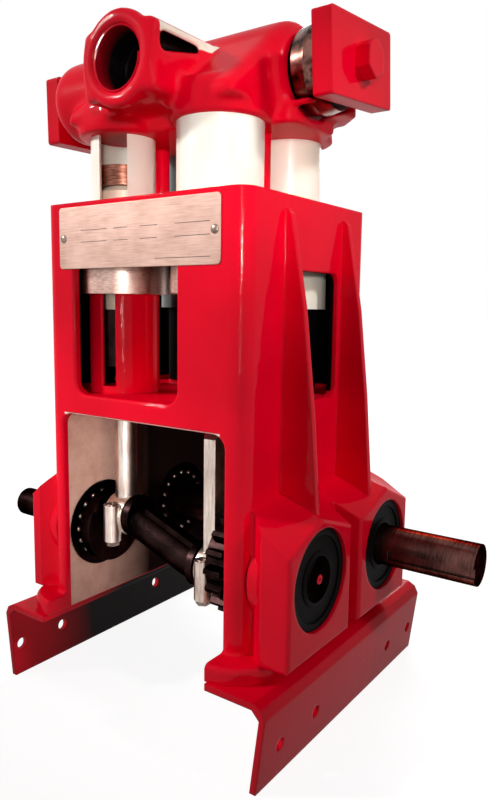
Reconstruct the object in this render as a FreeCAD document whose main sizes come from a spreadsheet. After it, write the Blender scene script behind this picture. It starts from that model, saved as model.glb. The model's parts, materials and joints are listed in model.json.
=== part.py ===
import FreeCAD, Part
import math
import os
import re
import Sketcher

# A vertical two-throw piston pump: a ribbed casting on two bent rails, four vertical cylinders
# under a pump head, and a geared crank train in the open crankcase.
# It is drawn from the middle of the casting's front face at floor level, and its finished pieces
# are moved so that the origin lies on the floor under the middle of the whole pump.
# X runs along the crankshaft, Y from the front to the back, Z up, all in millimetres.

SIZES = {
    # how far a cutting shape reaches past the face that it cuts
    "over": 1.0,
    # upper box of the casting
    "box_width": 192.0,
    "box_depth": 170.0,
    "box_top": 385.0,
    "box_corner": 12.0,
    "box_wall": 7.0,
    "top_plate": 12.0,
    "deck_top": 241.0,
    "deck_under": 224.5,
    # crankcase below the deck
    "case_half_inside": 80.0,
    "case_depth": 188.0,
    "case_wall": 8.0,
    "case_corner": 10.0,
    "gear_room": 5.5,
    "gear_case_cheek": 4.0,
    "gear_case_wall": 5.5,
    "mouth_round": 2.5,
    # windows of the upper box
    "front_window_left": -63.5,
    "front_window_right": 38.7,
    "front_window_top": 345.0,
    "window_corner": 11.0,
    "side_window_front": 57.0,
    "side_window_back": 123.0,
    "side_window_top": 335.0,
    "side_window_corner": 8.0,
    "corner_window_front": 141.0,
    "corner_window_back": 160.0,
    "corner_window_low": 274.0,
    "corner_window_top": 329.0,
    "back_window_half": 50.0,
    # ribs and bearing bosses on the side walls
    "rib_edge": 5.0,
    "rib_root": 12.0,
    "front_rib_y": 45.5,
    "rear_rib_y": 127.5,
    "rib_foot_x": 127.0,
    "rib_knee_x": 119.5,
    "rib_knee_z": 241.0,
    "rib_waist_x": 112.0,
    "rib_waist_z": 307.0,
    "rib_head_x": 100.5,
    "rib_head_z": 372.0,
    "boss_face": 133.0,
    "left_boss_face": 121.5,
    "boss_margin": 0.5,
    "boss_low": 74.0,
    "boss_shoulder": 150.0,
    "boss_ridge": 168.0,
    "boss_eave_rise": 25.0,
    "boss_ridge_rise": 13.0,
    "boss_round": 3.0,
    "valley_depth": 9.5,
    "valley_slope": 14.5,
    "valley_round": 8.0,
    "boss_gap": 16.5,
    "boss_gap_depth": 21.0,
    # feet and rails
    "rail_height": 62.0,
    "foot_thick": 12.0,
    "foot_edge": 4.0,
    "foot_reach": 19.0,
    "foot_outer": 116.0,
    "foot_round": 35.0,
    "foot_back": 221.0,
    "rail_front": -21.5,
    "rail_back": 229.5,
    "rail_thick": 4.8,
    "rail_inner_x": 82.0,
    "rail_outer_x": 130.5,
    "rail_toe_x": 124.0,
    "rail_bend": 9.5,
    "rail_inner_bend": 1.0,
    "rail_hole_radius": 4.6,
    "rail_hole_height": 24.0,
    "rail_hole_one": 24.0,
    "rail_hole_two": 71.5,
    "rail_hole_three": 194.0,
    "rail_hole_four": 237.5,
    "left_hole_shift": 4.5,
    # shafts, bearings and gears
    "crank_y": 42.5,
    "crank_z": 125.5,
    "drive_drop": 3.5,
    "gear_module": 4.0,
    "crank_teeth": 18,
    "drive_teeth": 34,
    "gear_width": 14.0,
    "gear_gap": 5.0,
    "bearing_radius": 36.0,
    "bearing_width": 17.0,
    "race_width": 6.0,
    "race_inset": 2.0,
    "seal_width": 8.0,
    "seal_depth": 4.0,
    "seal_gap": 0.3,
    "land_rise": 0.6,
    "journal_radius": 17.5,
    "running_gap": 0.05,
    "seat_gap": 0.3,
    "stub_radius": 12.4,
    "stub_end": 181.4,
    "crank_end_radius": 15.6,
    "crank_end": 131.0,
    "drive_radius": 15.875,
    "drive_end": 208.0,
    "drive_left_end": 103.0,
    "keyway_width": 8.0,
    "keyway_depth": 4.0,
    "keyway_drop": 7.0,
    "keyway_start": 142.0,
    "tooth_foot": 1.2,
    "tooth_head": 0.95,
    "tooth_foot_share": 0.31,
    "tooth_middle_share": 0.235,
    "tooth_tip_share": 0.12,
    # crank throws and connecting rods
    "throw": 12.5,
    "throw_angle": 90.0,
    "pin_radius": 8.5,
    "left_ring_gap": 2.0,
    "right_ring_gap": 11.0,
    "rod_length": 112.0,
    "big_end_radius": 17.0,
    "big_end_width": 19.0,
    "cap_bolt_boss": 7.0,
    "cap_boss_wall": 1.0,
    "cap_boss_height": 30.0,
    "cap_boss_drop": 4.0,
    "shank_radius": 9.0,
    "shank_neck": 6.0,
    "shank_full": 100.0,
    "shank_narrow": 108.0,
    "shank_width": 10.5,
    "shank_depth": 20.0,
    "shank_top_depth": 10.0,
    "eye_radius": 6.5,
    "eye_width": 10.0,
    "wrist_radius": 4.0,
    "wrist_length": 17.0,
    "web_radius": 30.0,
    "web_gap": 5.5,
    "left_web_thick": 9.0,
    "right_web_thick": 6.0,
    "cheek_gap": 2.0,
    "cheek_thick": 6.0,
    "cheek_radius": 17.5,
    "arm_radius": 13.0,
    "arm_drop": 4.0,
    "strip_width": 9.0,
    "strip_thick": 3.0,
    "strip_inset": 6.0,
    "strip_sunk": 2.0,
    # guides, crossheads, plungers and cylinders
    "guide_radius": 27.5,
    "guide_bore": 23.5,
    "deck_relief": 28.0,
    "deck_relief_top": 236.0,
    "guide_top": 318.0,
    "guide_slot_width": 11.0,
    "guide_slot_low": 247.0,
    "guide_slot_angle": 18.0,
    "crosshead_low": 262.0,
    "crosshead_height": 44.0,
    "crosshead_gap": 0.2,
    "ring_radius": 35.0,
    "ring_height": 30.0,
    "tube_radius": 25.0,
    "tube_wall": 3.5,
    "wide_tube_radius": 31.0,
    "tube_slot_width": 22.0,
    "tube_slot_angle": 25.0,
    "tube_slot_low": 370.0,
    "plunger_radius": 18.5,
    "plunger_top": 400.0,
    "plunger_chamfer": 4.0,
    "cup_radius": 20.0,
    "cup_height": 15.0,
    "rear_row_y": 127.5,
    "rear_tube_x": 47.0,
    "vessel_foot_radius": 31.5,
    "vessel_foot_low": 308.0,
    "post_radius": 25.0,
    # pump head
    "head_under": 436.0,
    "head_base_top": 462.0,
    "head_base_round": 8.0,
    "lobe_margin": 9.0,
    "wide_lobe_margin": 4.5,
    "ledge_under": 446.0,
    "ledge_reach": 110.0,
    "ledge_low_reach": 92.0,
    "ledge_front": 62.0,
    "ledge_back": 136.0,
    "ledge_corner": 18.0,
    "shoulder_front": 9.0,
    "shoulder_low": 453.0,
    "shoulder_top": 499.0,
    "shoulder_back": 62.0,
    "shoulder_reach": 78.0,
    "bulge_radius": 31.0,
    "bulge_y": 44.0,
    "bulge_z": 468.0,
    "bulge_end": 106.0,
    "bulge_round": 16.0,
    "chamber_radius": 36.0,
    "chamber_y": 85.0,
    "chamber_z": 473.0,
    "chamber_end": 86.0,
    "chamber_round": 12.0,
    "neck_half": 33.0,
    "neck_front": -15.0,
    "neck_top": 493.5,
    "neck_under": 447.0,
    "neck_round": 6.0,
    "pocket_deep": 10.0,
    "pocket_rim": 8.0,
    "pocket_low": 456.0,
    "pocket_back": 44.0,
    "port_z": 471.7,
    "port_front": -17.5,
    "port_collar": 31.3,
    "port_radius": 20.9,
    "port_depth": 32.0,
    "cover_radius": 30.5,
    "cover_thick": 30.0,
    "cover_groove": 4.5,
    "cover_groove_deep": 5.5,
    "cover_crown": 2.0,
    "cover_gap": 1.0,
    "clamp_width": 88.0,
    "clamp_height": 52.0,
    "clamp_thick": 14.0,
    "clamp_round": 2.5,
    "clamp_turn": 5.5,
    "left_clamp_turn": 1.0,
    "left_clamp_shift": 8.0,
    "left_clamp_drop": 5.5,
    "screw_across": 22.2,
    "screw_head": 10.0,
    "stud_x": 50.0,
    "stud_radius": 6.2,
}

doc = FreeCAD.newDocument("piston_pump")
sheet = doc.addObject("Spreadsheet::Sheet", "Sizes")
for row, (alias, value) in enumerate(SIZES.items(), start=1):
    sheet.set("A%d" % row, alias)
    sheet.set("B%d" % row, repr(value))
    sheet.setAlias("B%d" % row, alias)
doc.recompute()

# lengths that several pieces share, worked out from the sheet
CENTRES = "((crank_teeth + drive_teeth) * gear_module / 2)"
DRIVE_Y = "(crank_y + sqrt(%s * %s - drive_drop * drive_drop))" % (CENTRES, CENTRES)
DRIVE_Z = "(crank_z - drive_drop)"
GEAR_TIP = "((drive_teeth / 2 + 1) * gear_module)"
CASE_ROOM = "(%s + gear_room)" % GEAR_TIP
BEARING_OUT = "(case_half_inside + bearing_width)"
PIN_DY = "(throw * cos(throw_angle))"
PIN_DZ = "(throw * sin(throw_angle))"
CLAMP_INSIDE = "(chamber_end + cover_thick)"
WALL_MIDDLE = "(box_width / 2 - box_wall / 2)"

# places that follow from what stands beside them
WORKED_OUT = {
    "rod_left_x": "(left_ring_gap + ring_radius + box_wall - box_width / 2)",
    "rod_right_x": "(box_width / 2 - box_wall - ring_radius - right_ring_gap)",
    "gear_left": "(case_half_inside - gear_gap - gear_width)",
}

word = re.compile(r"[a-z][a-z_]*")


def bound(text):
    """The expression with every size's name pointing at its cell."""
    text = word.sub(lambda hit: WORKED_OUT.get(hit.group(), hit.group()), str(text))
    text = text.replace("cos(throw_angle)", "cos(throw_angle * 1 deg)")
    text = text.replace("sin(throw_angle)", "sin(throw_angle * 1 deg)")
    return word.sub(lambda hit: "Sizes." + hit.group() if hit.group() in SIZES else hit.group(), text)


def number(text):
    """The expression's value as a plain number."""
    value = sheet.evalExpression(bound(text))
    return float(getattr(value, "Value", value))


def bind(thing, prop, text):
    thing.setExpression(prop, bound(text))


def place(thing, x="0", y="0", z="0", rotation=None):
    """Put an object at a bound point, turned as given."""
    if rotation is not None:
        thing.Placement = FreeCAD.Placement(FreeCAD.Vector(), rotation)
    for axis, text in (("x", x), ("y", y), ("z", z)):
        bind(thing, "Placement.Base.%s" % axis, text)
    return thing


CLOSE = 0.01
ALONG_X = FreeCAD.Rotation(FreeCAD.Vector(0, 1, 0), 90)
ALONG_Y = FreeCAD.Rotation(FreeCAD.Vector(1, 0, 0), -90)
HALF_TURN = FreeCAD.Rotation(FreeCAD.Vector(0, 0, 1), 180)


def new_name(label):
    return label.replace(" ", "_")


def plane_of(body, role):
    return [item for item in body.Origin.OriginFeatures if item.Role == role][0]


def sketch_on(body, role, name):
    sketch = body.newObject("Sketcher::SketchObject", name)
    sketch.AttachmentSupport = [(plane_of(body, role), "")]
    sketch.MapMode = "FlatFace"
    return sketch


def level(sketch, height):
    """Lift a sketch off its plane by a bound distance."""
    bind(sketch, "AttachmentOffset.Base.z", height)
    return sketch


def tie(sketch, index, end, point):
    """Bind one end of a sketch line to a point given by two expressions."""
    for kind, text in (("DistanceX", point[0]), ("DistanceY", point[1])):
        at = sketch.addConstraint(Sketcher.Constraint(kind, index, end, number(text)))
        sketch.setExpression("Constraints[%d]" % at, bound(text))


def outline(sketch, points):
    """A closed outline of straight lines through bound points."""
    spots = [FreeCAD.Vector(number(a), number(b), 0) for a, b in points]
    count = len(spots)
    for index in range(count):
        sketch.addGeometry(Part.LineSegment(spots[index], spots[(index + 1) % count]), False)
    for index in range(count):
        sketch.addConstraint(Sketcher.Constraint("Coincident", index, 2, (index + 1) % count, 1))
    for index, point in enumerate(points):
        tie(sketch, index, 1, point)


def rounded(sketch, left, right, low, high, radius):
    """A rectangle with round corners between four bound sides."""
    x0, x1, y0, y1, r = (number(text) for text in (left, right, low, high, radius))
    corners = [(x1 - r, y0 + r, -90), (x1 - r, y1 - r, 0), (x0 + r, y1 - r, 90), (x0 + r, y0 + r, 180)]
    sides = [((x0 + r, y0), (x1 - r, y0)), ((x1, y0 + r), (x1, y1 - r)),
             ((x1 - r, y1), (x0 + r, y1)), ((x0, y1 - r), (x0, y0 + r))]
    for start, end in sides:
        sketch.addGeometry(Part.LineSegment(FreeCAD.Vector(*start, 0), FreeCAD.Vector(*end, 0)), False)
    for cx, cy, turn in corners:
        circle = Part.Circle(FreeCAD.Vector(cx, cy, 0), FreeCAD.Vector(0, 0, 1), r)
        first = math.radians(turn)
        sketch.addGeometry(Part.ArcOfCircle(circle, first, first + math.pi / 2), False)
    for side in range(4):
        arc = 4 + side
        sketch.addConstraint(Sketcher.Constraint("Tangent", side, 2, arc, 1))
        sketch.addConstraint(Sketcher.Constraint("Tangent", arc, 2, (side + 1) % 4, 1))
    sketch.addConstraint(Sketcher.Constraint("Horizontal", 0))
    sketch.addConstraint(Sketcher.Constraint("Horizontal", 2))
    sketch.addConstraint(Sketcher.Constraint("Vertical", 1))
    sketch.addConstraint(Sketcher.Constraint("Vertical", 3))
    for arc in (5, 6, 7):
        sketch.addConstraint(Sketcher.Constraint("Equal", 4, arc))
    for kind, index, text in (("DistanceY", 0, low), ("DistanceX", 1, right),
                              ("DistanceY", 2, high), ("DistanceX", 3, left)):
        at = sketch.addConstraint(Sketcher.Constraint(kind, index, 1, number(text)))
        sketch.setExpression("Constraints[%d]" % at, bound(text))
    at = sketch.addConstraint(Sketcher.Constraint("Radius", 4, r))
    sketch.setExpression("Constraints[%d]" % at, bound(radius))


def padded(label, role, draw, length, reverse=False):
    """A body with one sketch, drawn by draw, padded by a bound length."""
    name = new_name(label)
    body = doc.addObject("PartDesign::Body", name)
    body.Label = label
    sketch = sketch_on(body, role, name + "_outline")
    draw(sketch)
    pad = body.newObject("PartDesign::Pad", name + "_pad")
    pad.Profile = sketch
    pad.Reversed = reverse
    bind(pad, "Length", length)
    sketch.Visibility = False
    return body


def lofted(label, role, sections):
    """A body with flat panels through straight-sided outlines at bound levels."""
    name = new_name(label)
    body = doc.addObject("PartDesign::Body", name)
    body.Label = label
    sketches = []
    for index, (height, points) in enumerate(sections):
        sketch = level(sketch_on(body, role, "%s_outline_%d" % (name, index)), height)
        outline(sketch, points)
        sketches.append(sketch)
    loft = body.newObject("PartDesign::AdditiveLoft", name + "_loft")
    loft.Profile = sketches[0]
    loft.Sections = sketches[1:]
    loft.Ruled = True
    for sketch in sketches:
        sketch.Visibility = False
    return body


def soften(body, radius, wanted):
    """Round those edges of a body's last feature that pass the test."""
    doc.recompute()
    base = body.Tip
    names = ["Edge%d" % at for at, edge in enumerate(base.Shape.Edges, start=1) if wanted(edge)]
    fillet = body.newObject("PartDesign::Fillet", base.Name + "_rounding")
    fillet.Base = (base, names)
    bind(fillet, "Radius", radius)
    return body


def rounding(label, base, radius, wanted):
    """Round those edges of a joined shape that pass the test."""
    doc.recompute()
    size = number(radius)
    fillet = doc.addObject("Part::Fillet", new_name(label))
    fillet.Label = label
    fillet.Base = base
    fillet.Edges = [(at, size, size) for at, edge in enumerate(base.Shape.Edges, start=1) if wanted(edge)]
    return fillet


def upright_at(*spots):
    """The test for an upright edge at one of the given plan points."""
    places = [(number(x), number(y)) for x, y in spots]

    def test(edge):
        room = edge.BoundBox
        if room.ZLength < CLOSE or room.XLength > CLOSE or room.YLength > CLOSE:
            return False
        return any(math.hypot(room.XMin - x, room.YMin - y) < CLOSE for x, y in places)
    return test


def rim_at(*heights):
    """The test for an edge that lies level at one of the given heights of its body."""
    spots = [number(height) for height in heights]

    def test(edge):
        room = edge.BoundBox
        return room.ZLength < CLOSE and any(abs(room.ZMin - spot) < CLOSE for spot in spots)
    return test


def turned(label, points):
    """A body of revolution round its own Z from a bound (radius, height) outline."""
    name = new_name(label)
    body = doc.addObject("PartDesign::Body", name)
    body.Label = label
    sketch = sketch_on(body, "XZ_Plane", name + "_outline")
    outline(sketch, points)
    revolved = body.newObject("PartDesign::Revolution", name + "_turn")
    revolved.Profile = sketch
    revolved.ReferenceAxis = (sketch, ["V_Axis"])
    revolved.Angle = 360.0
    return body


def box(name, x, y, z, length, width, height):
    thing = doc.addObject("Part::Box", name)
    bind(thing, "Length", length)
    bind(thing, "Width", width)
    bind(thing, "Height", height)
    return place(thing, x, y, z)


def cylinder(name, radius, height, x, y, z, rotation=None):
    thing = doc.addObject("Part::Cylinder", name)
    bind(thing, "Radius", radius)
    bind(thing, "Height", height)
    return place(thing, x, y, z, rotation)


def fuse(label, shapes, refine=True):
    joined = doc.addObject("Part::MultiFuse", new_name(label))
    joined.Label = label
    joined.Shapes = shapes
    joined.Refine = refine
    return joined


def cut(label, base, tool, refine=True):
    left = doc.addObject("Part::Cut", new_name(label))
    left.Label = label
    left.Base = base
    left.Tool = tool
    left.Refine = refine
    return left


finished = []


def keep(thing):
    """List a finished piece of the pump."""
    finished.append(thing)
    return thing


# casting of the frame
def side_pair(name, make):
    """The right-hand feature and its twin on the left wall."""
    return [make(name + "_right", 1), make(name + "_left", -1)]


def rib(label, side, front):
    """A rib that narrows from the bearing bosses up the side wall, its front face square to the wall."""
    sign = "" if side > 0 else "-"
    levels = (("boss_shoulder", "rib_foot_x"), ("rib_knee_z", "rib_knee_x"), ("rib_waist_z", "rib_waist_x"),
              ("rib_head_z", "rib_head_x"), ("rib_head_z + rib_edge", "box_width / 2 - rib_edge / 4"))
    sections = []
    for height, reach in levels:
        sections.append((height, [(sign + WALL_MIDDLE, front), (sign + "(%s)" % reach, front),
                                  (sign + "(%s)" % reach, front + " + rib_edge"),
                                  (sign + WALL_MIDDLE, front + " + rib_root")]))
    return lofted(label, "XY_Plane", sections)


def bosses(label, side):
    """The two gabled bearing bosses of one side, standing out from the wall with a gap between them."""
    sign = "" if side > 0 else "-"
    face = "boss_face" if side > 0 else "left_boss_face"
    half_plan = [(WALL_MIDDLE, "boss_margin + valley_depth"),
                 ("(box_width / 2 + valley_slope / 3)", "boss_margin + valley_depth"),
                 ("(box_width / 2 + valley_slope)", "boss_margin"),
                 (face, "boss_margin"),
                 (face, "case_depth / 2 - boss_gap / 2"),
                 ("(%s - boss_gap_depth)" % face, "case_depth / 2 - boss_gap / 4")]
    plan = [(sign + x, y) for x, y in half_plan]
    plan += [(sign + x, "case_depth - (%s)" % y) for x, y in reversed(half_plan)]
    body = padded(label + "_plan", "XY_Plane", lambda sketch: outline(sketch, plan),
                  "boss_ridge + boss_ridge_rise - boss_low")
    valleys = upright_at(plan[1], plan[-2])
    soften(body, "valley_round", valleys)
    place(body, z="boss_low")
    sections = []
    for reach, rise, crest in ((face, "0", "0"), (WALL_MIDDLE, "boss_eave_rise", "boss_ridge_rise")):
        eave = "boss_shoulder + " + rise
        ridge = "boss_ridge + " + crest
        sections.append((sign + reach,
                         [("-boss_margin", "boss_low"), ("case_depth + boss_margin", "boss_low"),
                          ("case_depth + boss_margin", eave), (DRIVE_Y, ridge), ("case_depth / 2", eave),
                          ("crank_y", ridge), ("-boss_margin", eave)]))
    roof = lofted(label + "_roof", "YZ_Plane", sections)
    both = doc.addObject("Part::Common", new_name(label))
    both.Base = body
    both.Tool = roof
    face_x = side * number(face)

    def on_face(edge):
        room = edge.BoundBox
        return abs(room.XMin - face_x) < CLOSE and abs(room.XMax - face_x) < CLOSE
    return rounding(label + "_rounded", both, "boss_round", on_face)


def foot(label, side):
    """The foot flange along the bottom of one side wall, its ends rounded."""
    if side > 0:
        edges = ("case_half_inside - 2 * foot_round", "foot_outer")
    else:
        edges = ("-foot_outer", "-case_half_inside + 2 * foot_round")
    body = padded(label, "XY_Plane",
                  lambda sketch: rounded(sketch, edges[0], edges[1], "-foot_reach", "foot_back",
                                         "foot_round"),
                  "foot_thick")
    soften(body, "foot_edge", rim_at("foot_thick"))
    place(body, z="rail_height")
    start = "case_half_inside - 2 * foot_outer" if side > 0 else "-case_half_inside"
    trim = box(label + "_trim", start, "-2 * foot_reach", "rail_height - over",
               "2 * foot_outer", "foot_back + 4 * foot_reach", "foot_thick + 2 * over")
    return cut(label + "_lug", body, trim)


upper_box = padded("upper_box", "XY_Plane",
                   lambda sketch: rounded(sketch, "-box_width / 2", "box_width / 2", "0", "box_depth",
                                          "box_corner"),
                   "box_top - deck_under")
place(upper_box, z="deck_under")
crankcase = padded("crankcase", "XY_Plane",
                   lambda sketch: rounded(sketch, "-box_width / 2", "box_width / 2", "0", "case_depth",
                                          "box_corner"),
                   "deck_top - rail_height - top_plate")
place(crankcase, z="rail_height")
gear_case = cylinder("gear_case", CASE_ROOM + " + gear_case_wall",
                     "2 * case_half_inside + 2 * gear_case_cheek",
                     "-case_half_inside - gear_case_cheek", DRIVE_Y, DRIVE_Z, ALONG_X)
gear_case_floor = box("gear_case_floor", "-box_width", "0", "0", "2 * box_width", "2 * box_depth",
                      "rail_height")
gear_case_cut = cut("gear_case_cut", gear_case, gear_case_floor)

outside = [upper_box, crankcase, gear_case_cut]
outside += side_pair("front_rib", lambda label, side: rib(label, side, "front_rib_y"))
outside += side_pair("rear_rib", lambda label, side: rib(label, side, "rear_rib_y"))
outside += side_pair("bosses", bosses)
outside += side_pair("foot", foot)
casting_outside = fuse("casting_outside", outside)

case_room = padded("case_room", "XZ_Plane",
                   lambda sketch: rounded(sketch, "-case_half_inside", "case_half_inside",
                                          "rail_height - 4 * case_corner",
                                          "deck_under", "case_corner"),
                   "case_depth - case_wall + over")
place(case_room, y="case_depth - case_wall")
gear_space = cylinder("gear_space", CASE_ROOM, "2 * case_half_inside", "-case_half_inside", DRIVE_Y,
                      DRIVE_Z, ALONG_X)
box_room = padded("box_room", "XY_Plane",
                  lambda sketch: rounded(sketch, "-box_width / 2 + box_wall", "box_width / 2 - box_wall",
                                         "box_wall",
                                         "box_depth - box_wall", "box_corner - box_wall"),
                  "box_top - top_plate - deck_top")
place(box_room, z="deck_top")


def window(label, role, left, right, low, high, corner, depth, reverse=False):
    return padded(label, role, lambda sketch: rounded(sketch, left, right, low, high, corner), depth,
                  reverse)


front_window = window("front_window", "XZ_Plane", "front_window_left", "front_window_right", "deck_top",
                      "front_window_top", "window_corner", "box_wall + 2 * over")
place(front_window, y="box_wall + over")
back_window = window("back_window", "XZ_Plane", "-back_window_half", "back_window_half", "deck_top",
                     "side_window_top", "window_corner", "box_wall + 2 * over")
place(back_window, y="box_depth + over")
side_window = window("side_window", "YZ_Plane", "side_window_front", "side_window_back", "deck_top",
                     "side_window_top", "side_window_corner", "box_width + 2 * over")
place(side_window, x="-box_width / 2 - over")
corner_window = window("corner_window", "YZ_Plane", "corner_window_front", "corner_window_back",
                       "corner_window_low", "corner_window_top", "side_window_corner",
                       "box_width + 2 * over")
place(corner_window, x="-box_width / 2 - over")
hollows = fuse("hollows", [case_room, gear_space, box_room, front_window, back_window, side_window,
                           corner_window])
casting_shell = cut("casting_shell", casting_outside, hollows)

guide_height = "guide_top - deck_under"
posts = []
for side, x in (("left", "rod_left_x"), ("right", "rod_right_x")):
    posts.append(cylinder("guide_" + side, "guide_radius", guide_height, x, "crank_y", "deck_under"))
for side, x in (("left", "-rear_tube_x"), ("right", "rear_tube_x")):
    posts.append(cylinder("post_" + side, "post_radius", "vessel_foot_low - deck_under", x, "rear_row_y",
                          "deck_under"))
casting_posts = fuse("casting_posts", [casting_shell] + posts)

bores = [
    cylinder("crank_bore", "bearing_radius", "2 * boss_face + 2 * over", "-boss_face - over", "crank_y",
             "crank_z", ALONG_X),
    cylinder("drive_bore", "bearing_radius", "2 * boss_face + 2 * over", "-boss_face - over", DRIVE_Y,
             DRIVE_Z, ALONG_X),
]
for side, x in (("left", "rod_left_x"), ("right", "rod_right_x")):
    bores.append(cylinder("guide_bore_" + side, "guide_bore", guide_height + " + 2 * over", x, "crank_y",
                          "deck_under - over"))
    bores.append(cylinder("deck_relief_" + side, "deck_relief", "deck_relief_top - deck_under + over", x,
                          "crank_y",
                          "deck_under - over"))
    slot = box("guide_slot_" + side, "0", "0", "0", "guide_slot_width", "guide_radius + over",
               "guide_top - guide_slot_low + over")
    turn = FreeCAD.Rotation(FreeCAD.Vector(0, 0, 1), number("guide_slot_angle"))
    slot.Placement = FreeCAD.Placement(FreeCAD.Vector(), turn)
    bind(slot, "Placement.Base.x", "%s - guide_slot_width / 2 * cos(guide_slot_angle * 1 deg)"
         " + (guide_radius + over) * sin(guide_slot_angle * 1 deg)" % x)
    bind(slot, "Placement.Base.y", "crank_y - guide_slot_width / 2 * sin(guide_slot_angle * 1 deg)"
         " - (guide_radius + over) * cos(guide_slot_angle * 1 deg)")
    bind(slot, "Placement.Base.z", "guide_slot_low")
    bores.append(slot)
tubes = (("front_left", "rod_left_x", "crank_y", "tube_radius"),
         ("front_right", "rod_right_x", "crank_y", "wide_tube_radius"),
         ("rear_left", "-rear_tube_x", "rear_row_y", "tube_radius"),
         ("rear_right", "rear_tube_x", "rear_row_y", "tube_radius"))
for name, x, y, radius in tubes:
    bores.append(cylinder("top_hole_" + name, radius + " + seat_gap", "top_plate + 2 * over", x, y,
                          "box_top - top_plate - over"))
bored = cut("bored_casting", casting_posts, fuse("bores", bores))
front_room = number("box_width / 2 - box_corner") + CLOSE


def on_front_opening(edge):
    """The test for an edge of the mouth or window in the casting's front face."""
    room = edge.BoundBox
    if abs(room.YMax) > CLOSE or abs(room.YMin) > CLOSE:
        return False
    if room.XMin < -front_room or room.XMax > front_room:
        return False
    return room.ZMin > number("rail_height") + CLOSE and room.ZMax < number("front_window_top") + CLOSE


frame_casting = keep(rounding("frame_casting", bored, "mouth_round", on_front_opening))


# bent rails under the feet
def rail(label, side):
    """A plate bent down along its outer edge, the lower edge leaning in under the pump."""
    points = [("rail_inner_x", "rail_height"), ("rail_outer_x - rail_bend", "rail_height"),
              ("rail_outer_x - rail_bend / 3", "rail_height - rail_bend / 3"),
              ("rail_outer_x", "rail_height - rail_bend"), ("rail_toe_x", "0"),
              ("rail_toe_x - rail_thick", "0"),
              ("rail_outer_x - rail_thick", "rail_height - rail_bend - rail_inner_bend"),
              ("rail_outer_x - rail_bend - rail_inner_bend", "rail_height - rail_thick"),
              ("rail_inner_x", "rail_height - rail_thick")]
    plate = padded(label + "_plate", "XZ_Plane", lambda sketch: outline(sketch, points),
                   "rail_back - rail_front")
    place(plate, y="rail_back - rail_front")
    holes = []
    shift = "" if side > 0 else " + left_hole_shift"
    for number_word in ("one", "two", "three", "four"):
        holes.append(cylinder("%s_hole_%s" % (label, number_word), "rail_hole_radius", "4 * rail_bend",
                              "rail_toe_x - 2 * rail_bend", "rail_hole_%s%s" % (number_word, shift),
                              "rail_hole_height", ALONG_X))
    rail_cut = cut(label, plate, fuse(label + "_holes", holes))
    if side > 0:
        place(rail_cut, y="rail_front")
    else:
        place(rail_cut, y="rail_back", rotation=HALF_TURN)
    return keep(rail_cut)


rail("rail_right", 1)
rail("rail_left", -1)

# upright cylinders between the frame and the head
def tube(label, x, y, radius, low):
    body = turned(label, [(radius + " - tube_wall", low), (radius, low), (radius, "head_under"),
                          (radius + " - tube_wall", "head_under")])
    return place(body, x, y)


FRONT_SEAT = "(guide_top + ring_height)"
slotted = tube("slotted_tube", "rod_left_x", "crank_y", "tube_radius", FRONT_SEAT)
tube_slot = box("tube_slot", "0", "0", "0", "tube_slot_width", "tube_radius + over",
                "head_under - tube_slot_low + over")
slot_turn = FreeCAD.Rotation(FreeCAD.Vector(0, 0, 1), number("tube_slot_angle"))
tube_slot.Placement = FreeCAD.Placement(FreeCAD.Vector(), slot_turn)
bind(tube_slot, "Placement.Base.x", "rod_left_x - tube_slot_width / 2 * cos(tube_slot_angle * 1 deg)"
     " + (tube_radius + over) * sin(tube_slot_angle * 1 deg)")
bind(tube_slot, "Placement.Base.y", "crank_y - tube_slot_width / 2 * sin(tube_slot_angle * 1 deg)"
     " - (tube_radius + over) * cos(tube_slot_angle * 1 deg)")
bind(tube_slot, "Placement.Base.z", "tube_slot_low")
keep(cut("cylinder_front_left", slotted, tube_slot))
keep(tube("cylinder_front_right", "rod_right_x", "crank_y", "wide_tube_radius", FRONT_SEAT))
VESSEL_SEAT = "(vessel_foot_low + ring_height)"
keep(tube("vessel_rear_left", "-rear_tube_x", "rear_row_y", "tube_radius", VESSEL_SEAT))
keep(tube("vessel_rear_right", "rear_tube_x", "rear_row_y", "tube_radius", VESSEL_SEAT))


def ring(label, x, y, low, outer, inner):
    """A seat ring between a cast post and the tube that stands on it."""
    top = "%s + ring_height" % low
    body = turned(label, [(inner, low), (outer, low), (outer, top), (inner, top)])
    return keep(place(body, x, y))


ring("seat_ring_left", "rod_left_x", "crank_y", "guide_top", "ring_radius", "cup_radius + over")
ring("seat_ring_right", "rod_right_x", "crank_y", "guide_top", "ring_radius", "cup_radius + over")
ring("vessel_foot_left", "-rear_tube_x", "rear_row_y", "vessel_foot_low", "vessel_foot_radius",
     "cup_radius")
ring("vessel_foot_right", "rear_tube_x", "rear_row_y", "vessel_foot_low", "vessel_foot_radius",
     "cup_radius")

# crossheads and plungers
for side, x in (("left", "rod_left_x"), ("right", "rod_right_x")):
    head_top = "(crosshead_low + crosshead_height)"
    slide = "guide_bore - crosshead_gap"
    crosshead = turned("crosshead_" + side,
                       [("0", "crosshead_low"), (slide, "crosshead_low"), (slide, head_top),
                                             ("0", head_top)])
    keep(place(crosshead, x, "crank_y"))
    plunger = turned("plunger_" + side, [("0", head_top), ("plunger_radius", head_top),
                                         ("plunger_radius", "plunger_top - plunger_chamfer"),
                                         ("plunger_radius - plunger_chamfer", "plunger_top"),
                                         ("0", "plunger_top")])
    keep(place(plunger, x, "crank_y"))
    cup = turned("piston_cup_" + side, [("0", "plunger_top"), ("cup_radius", "plunger_top"),
                                       ("cup_radius", "plunger_top + cup_height"),
                                        ("0", "plunger_top + cup_height")])
    keep(place(cup, x, "crank_y"))

# pump head
def round_bar(label, radius, length, edge_radius, ends):
    """A bar of revolution on its own Z with the named end rims rounded."""
    body = turned(label, [("0", "0"), (radius, "0"), (radius, length), ("0", length)])
    return soften(body, edge_radius, rim_at(*ends))


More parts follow.
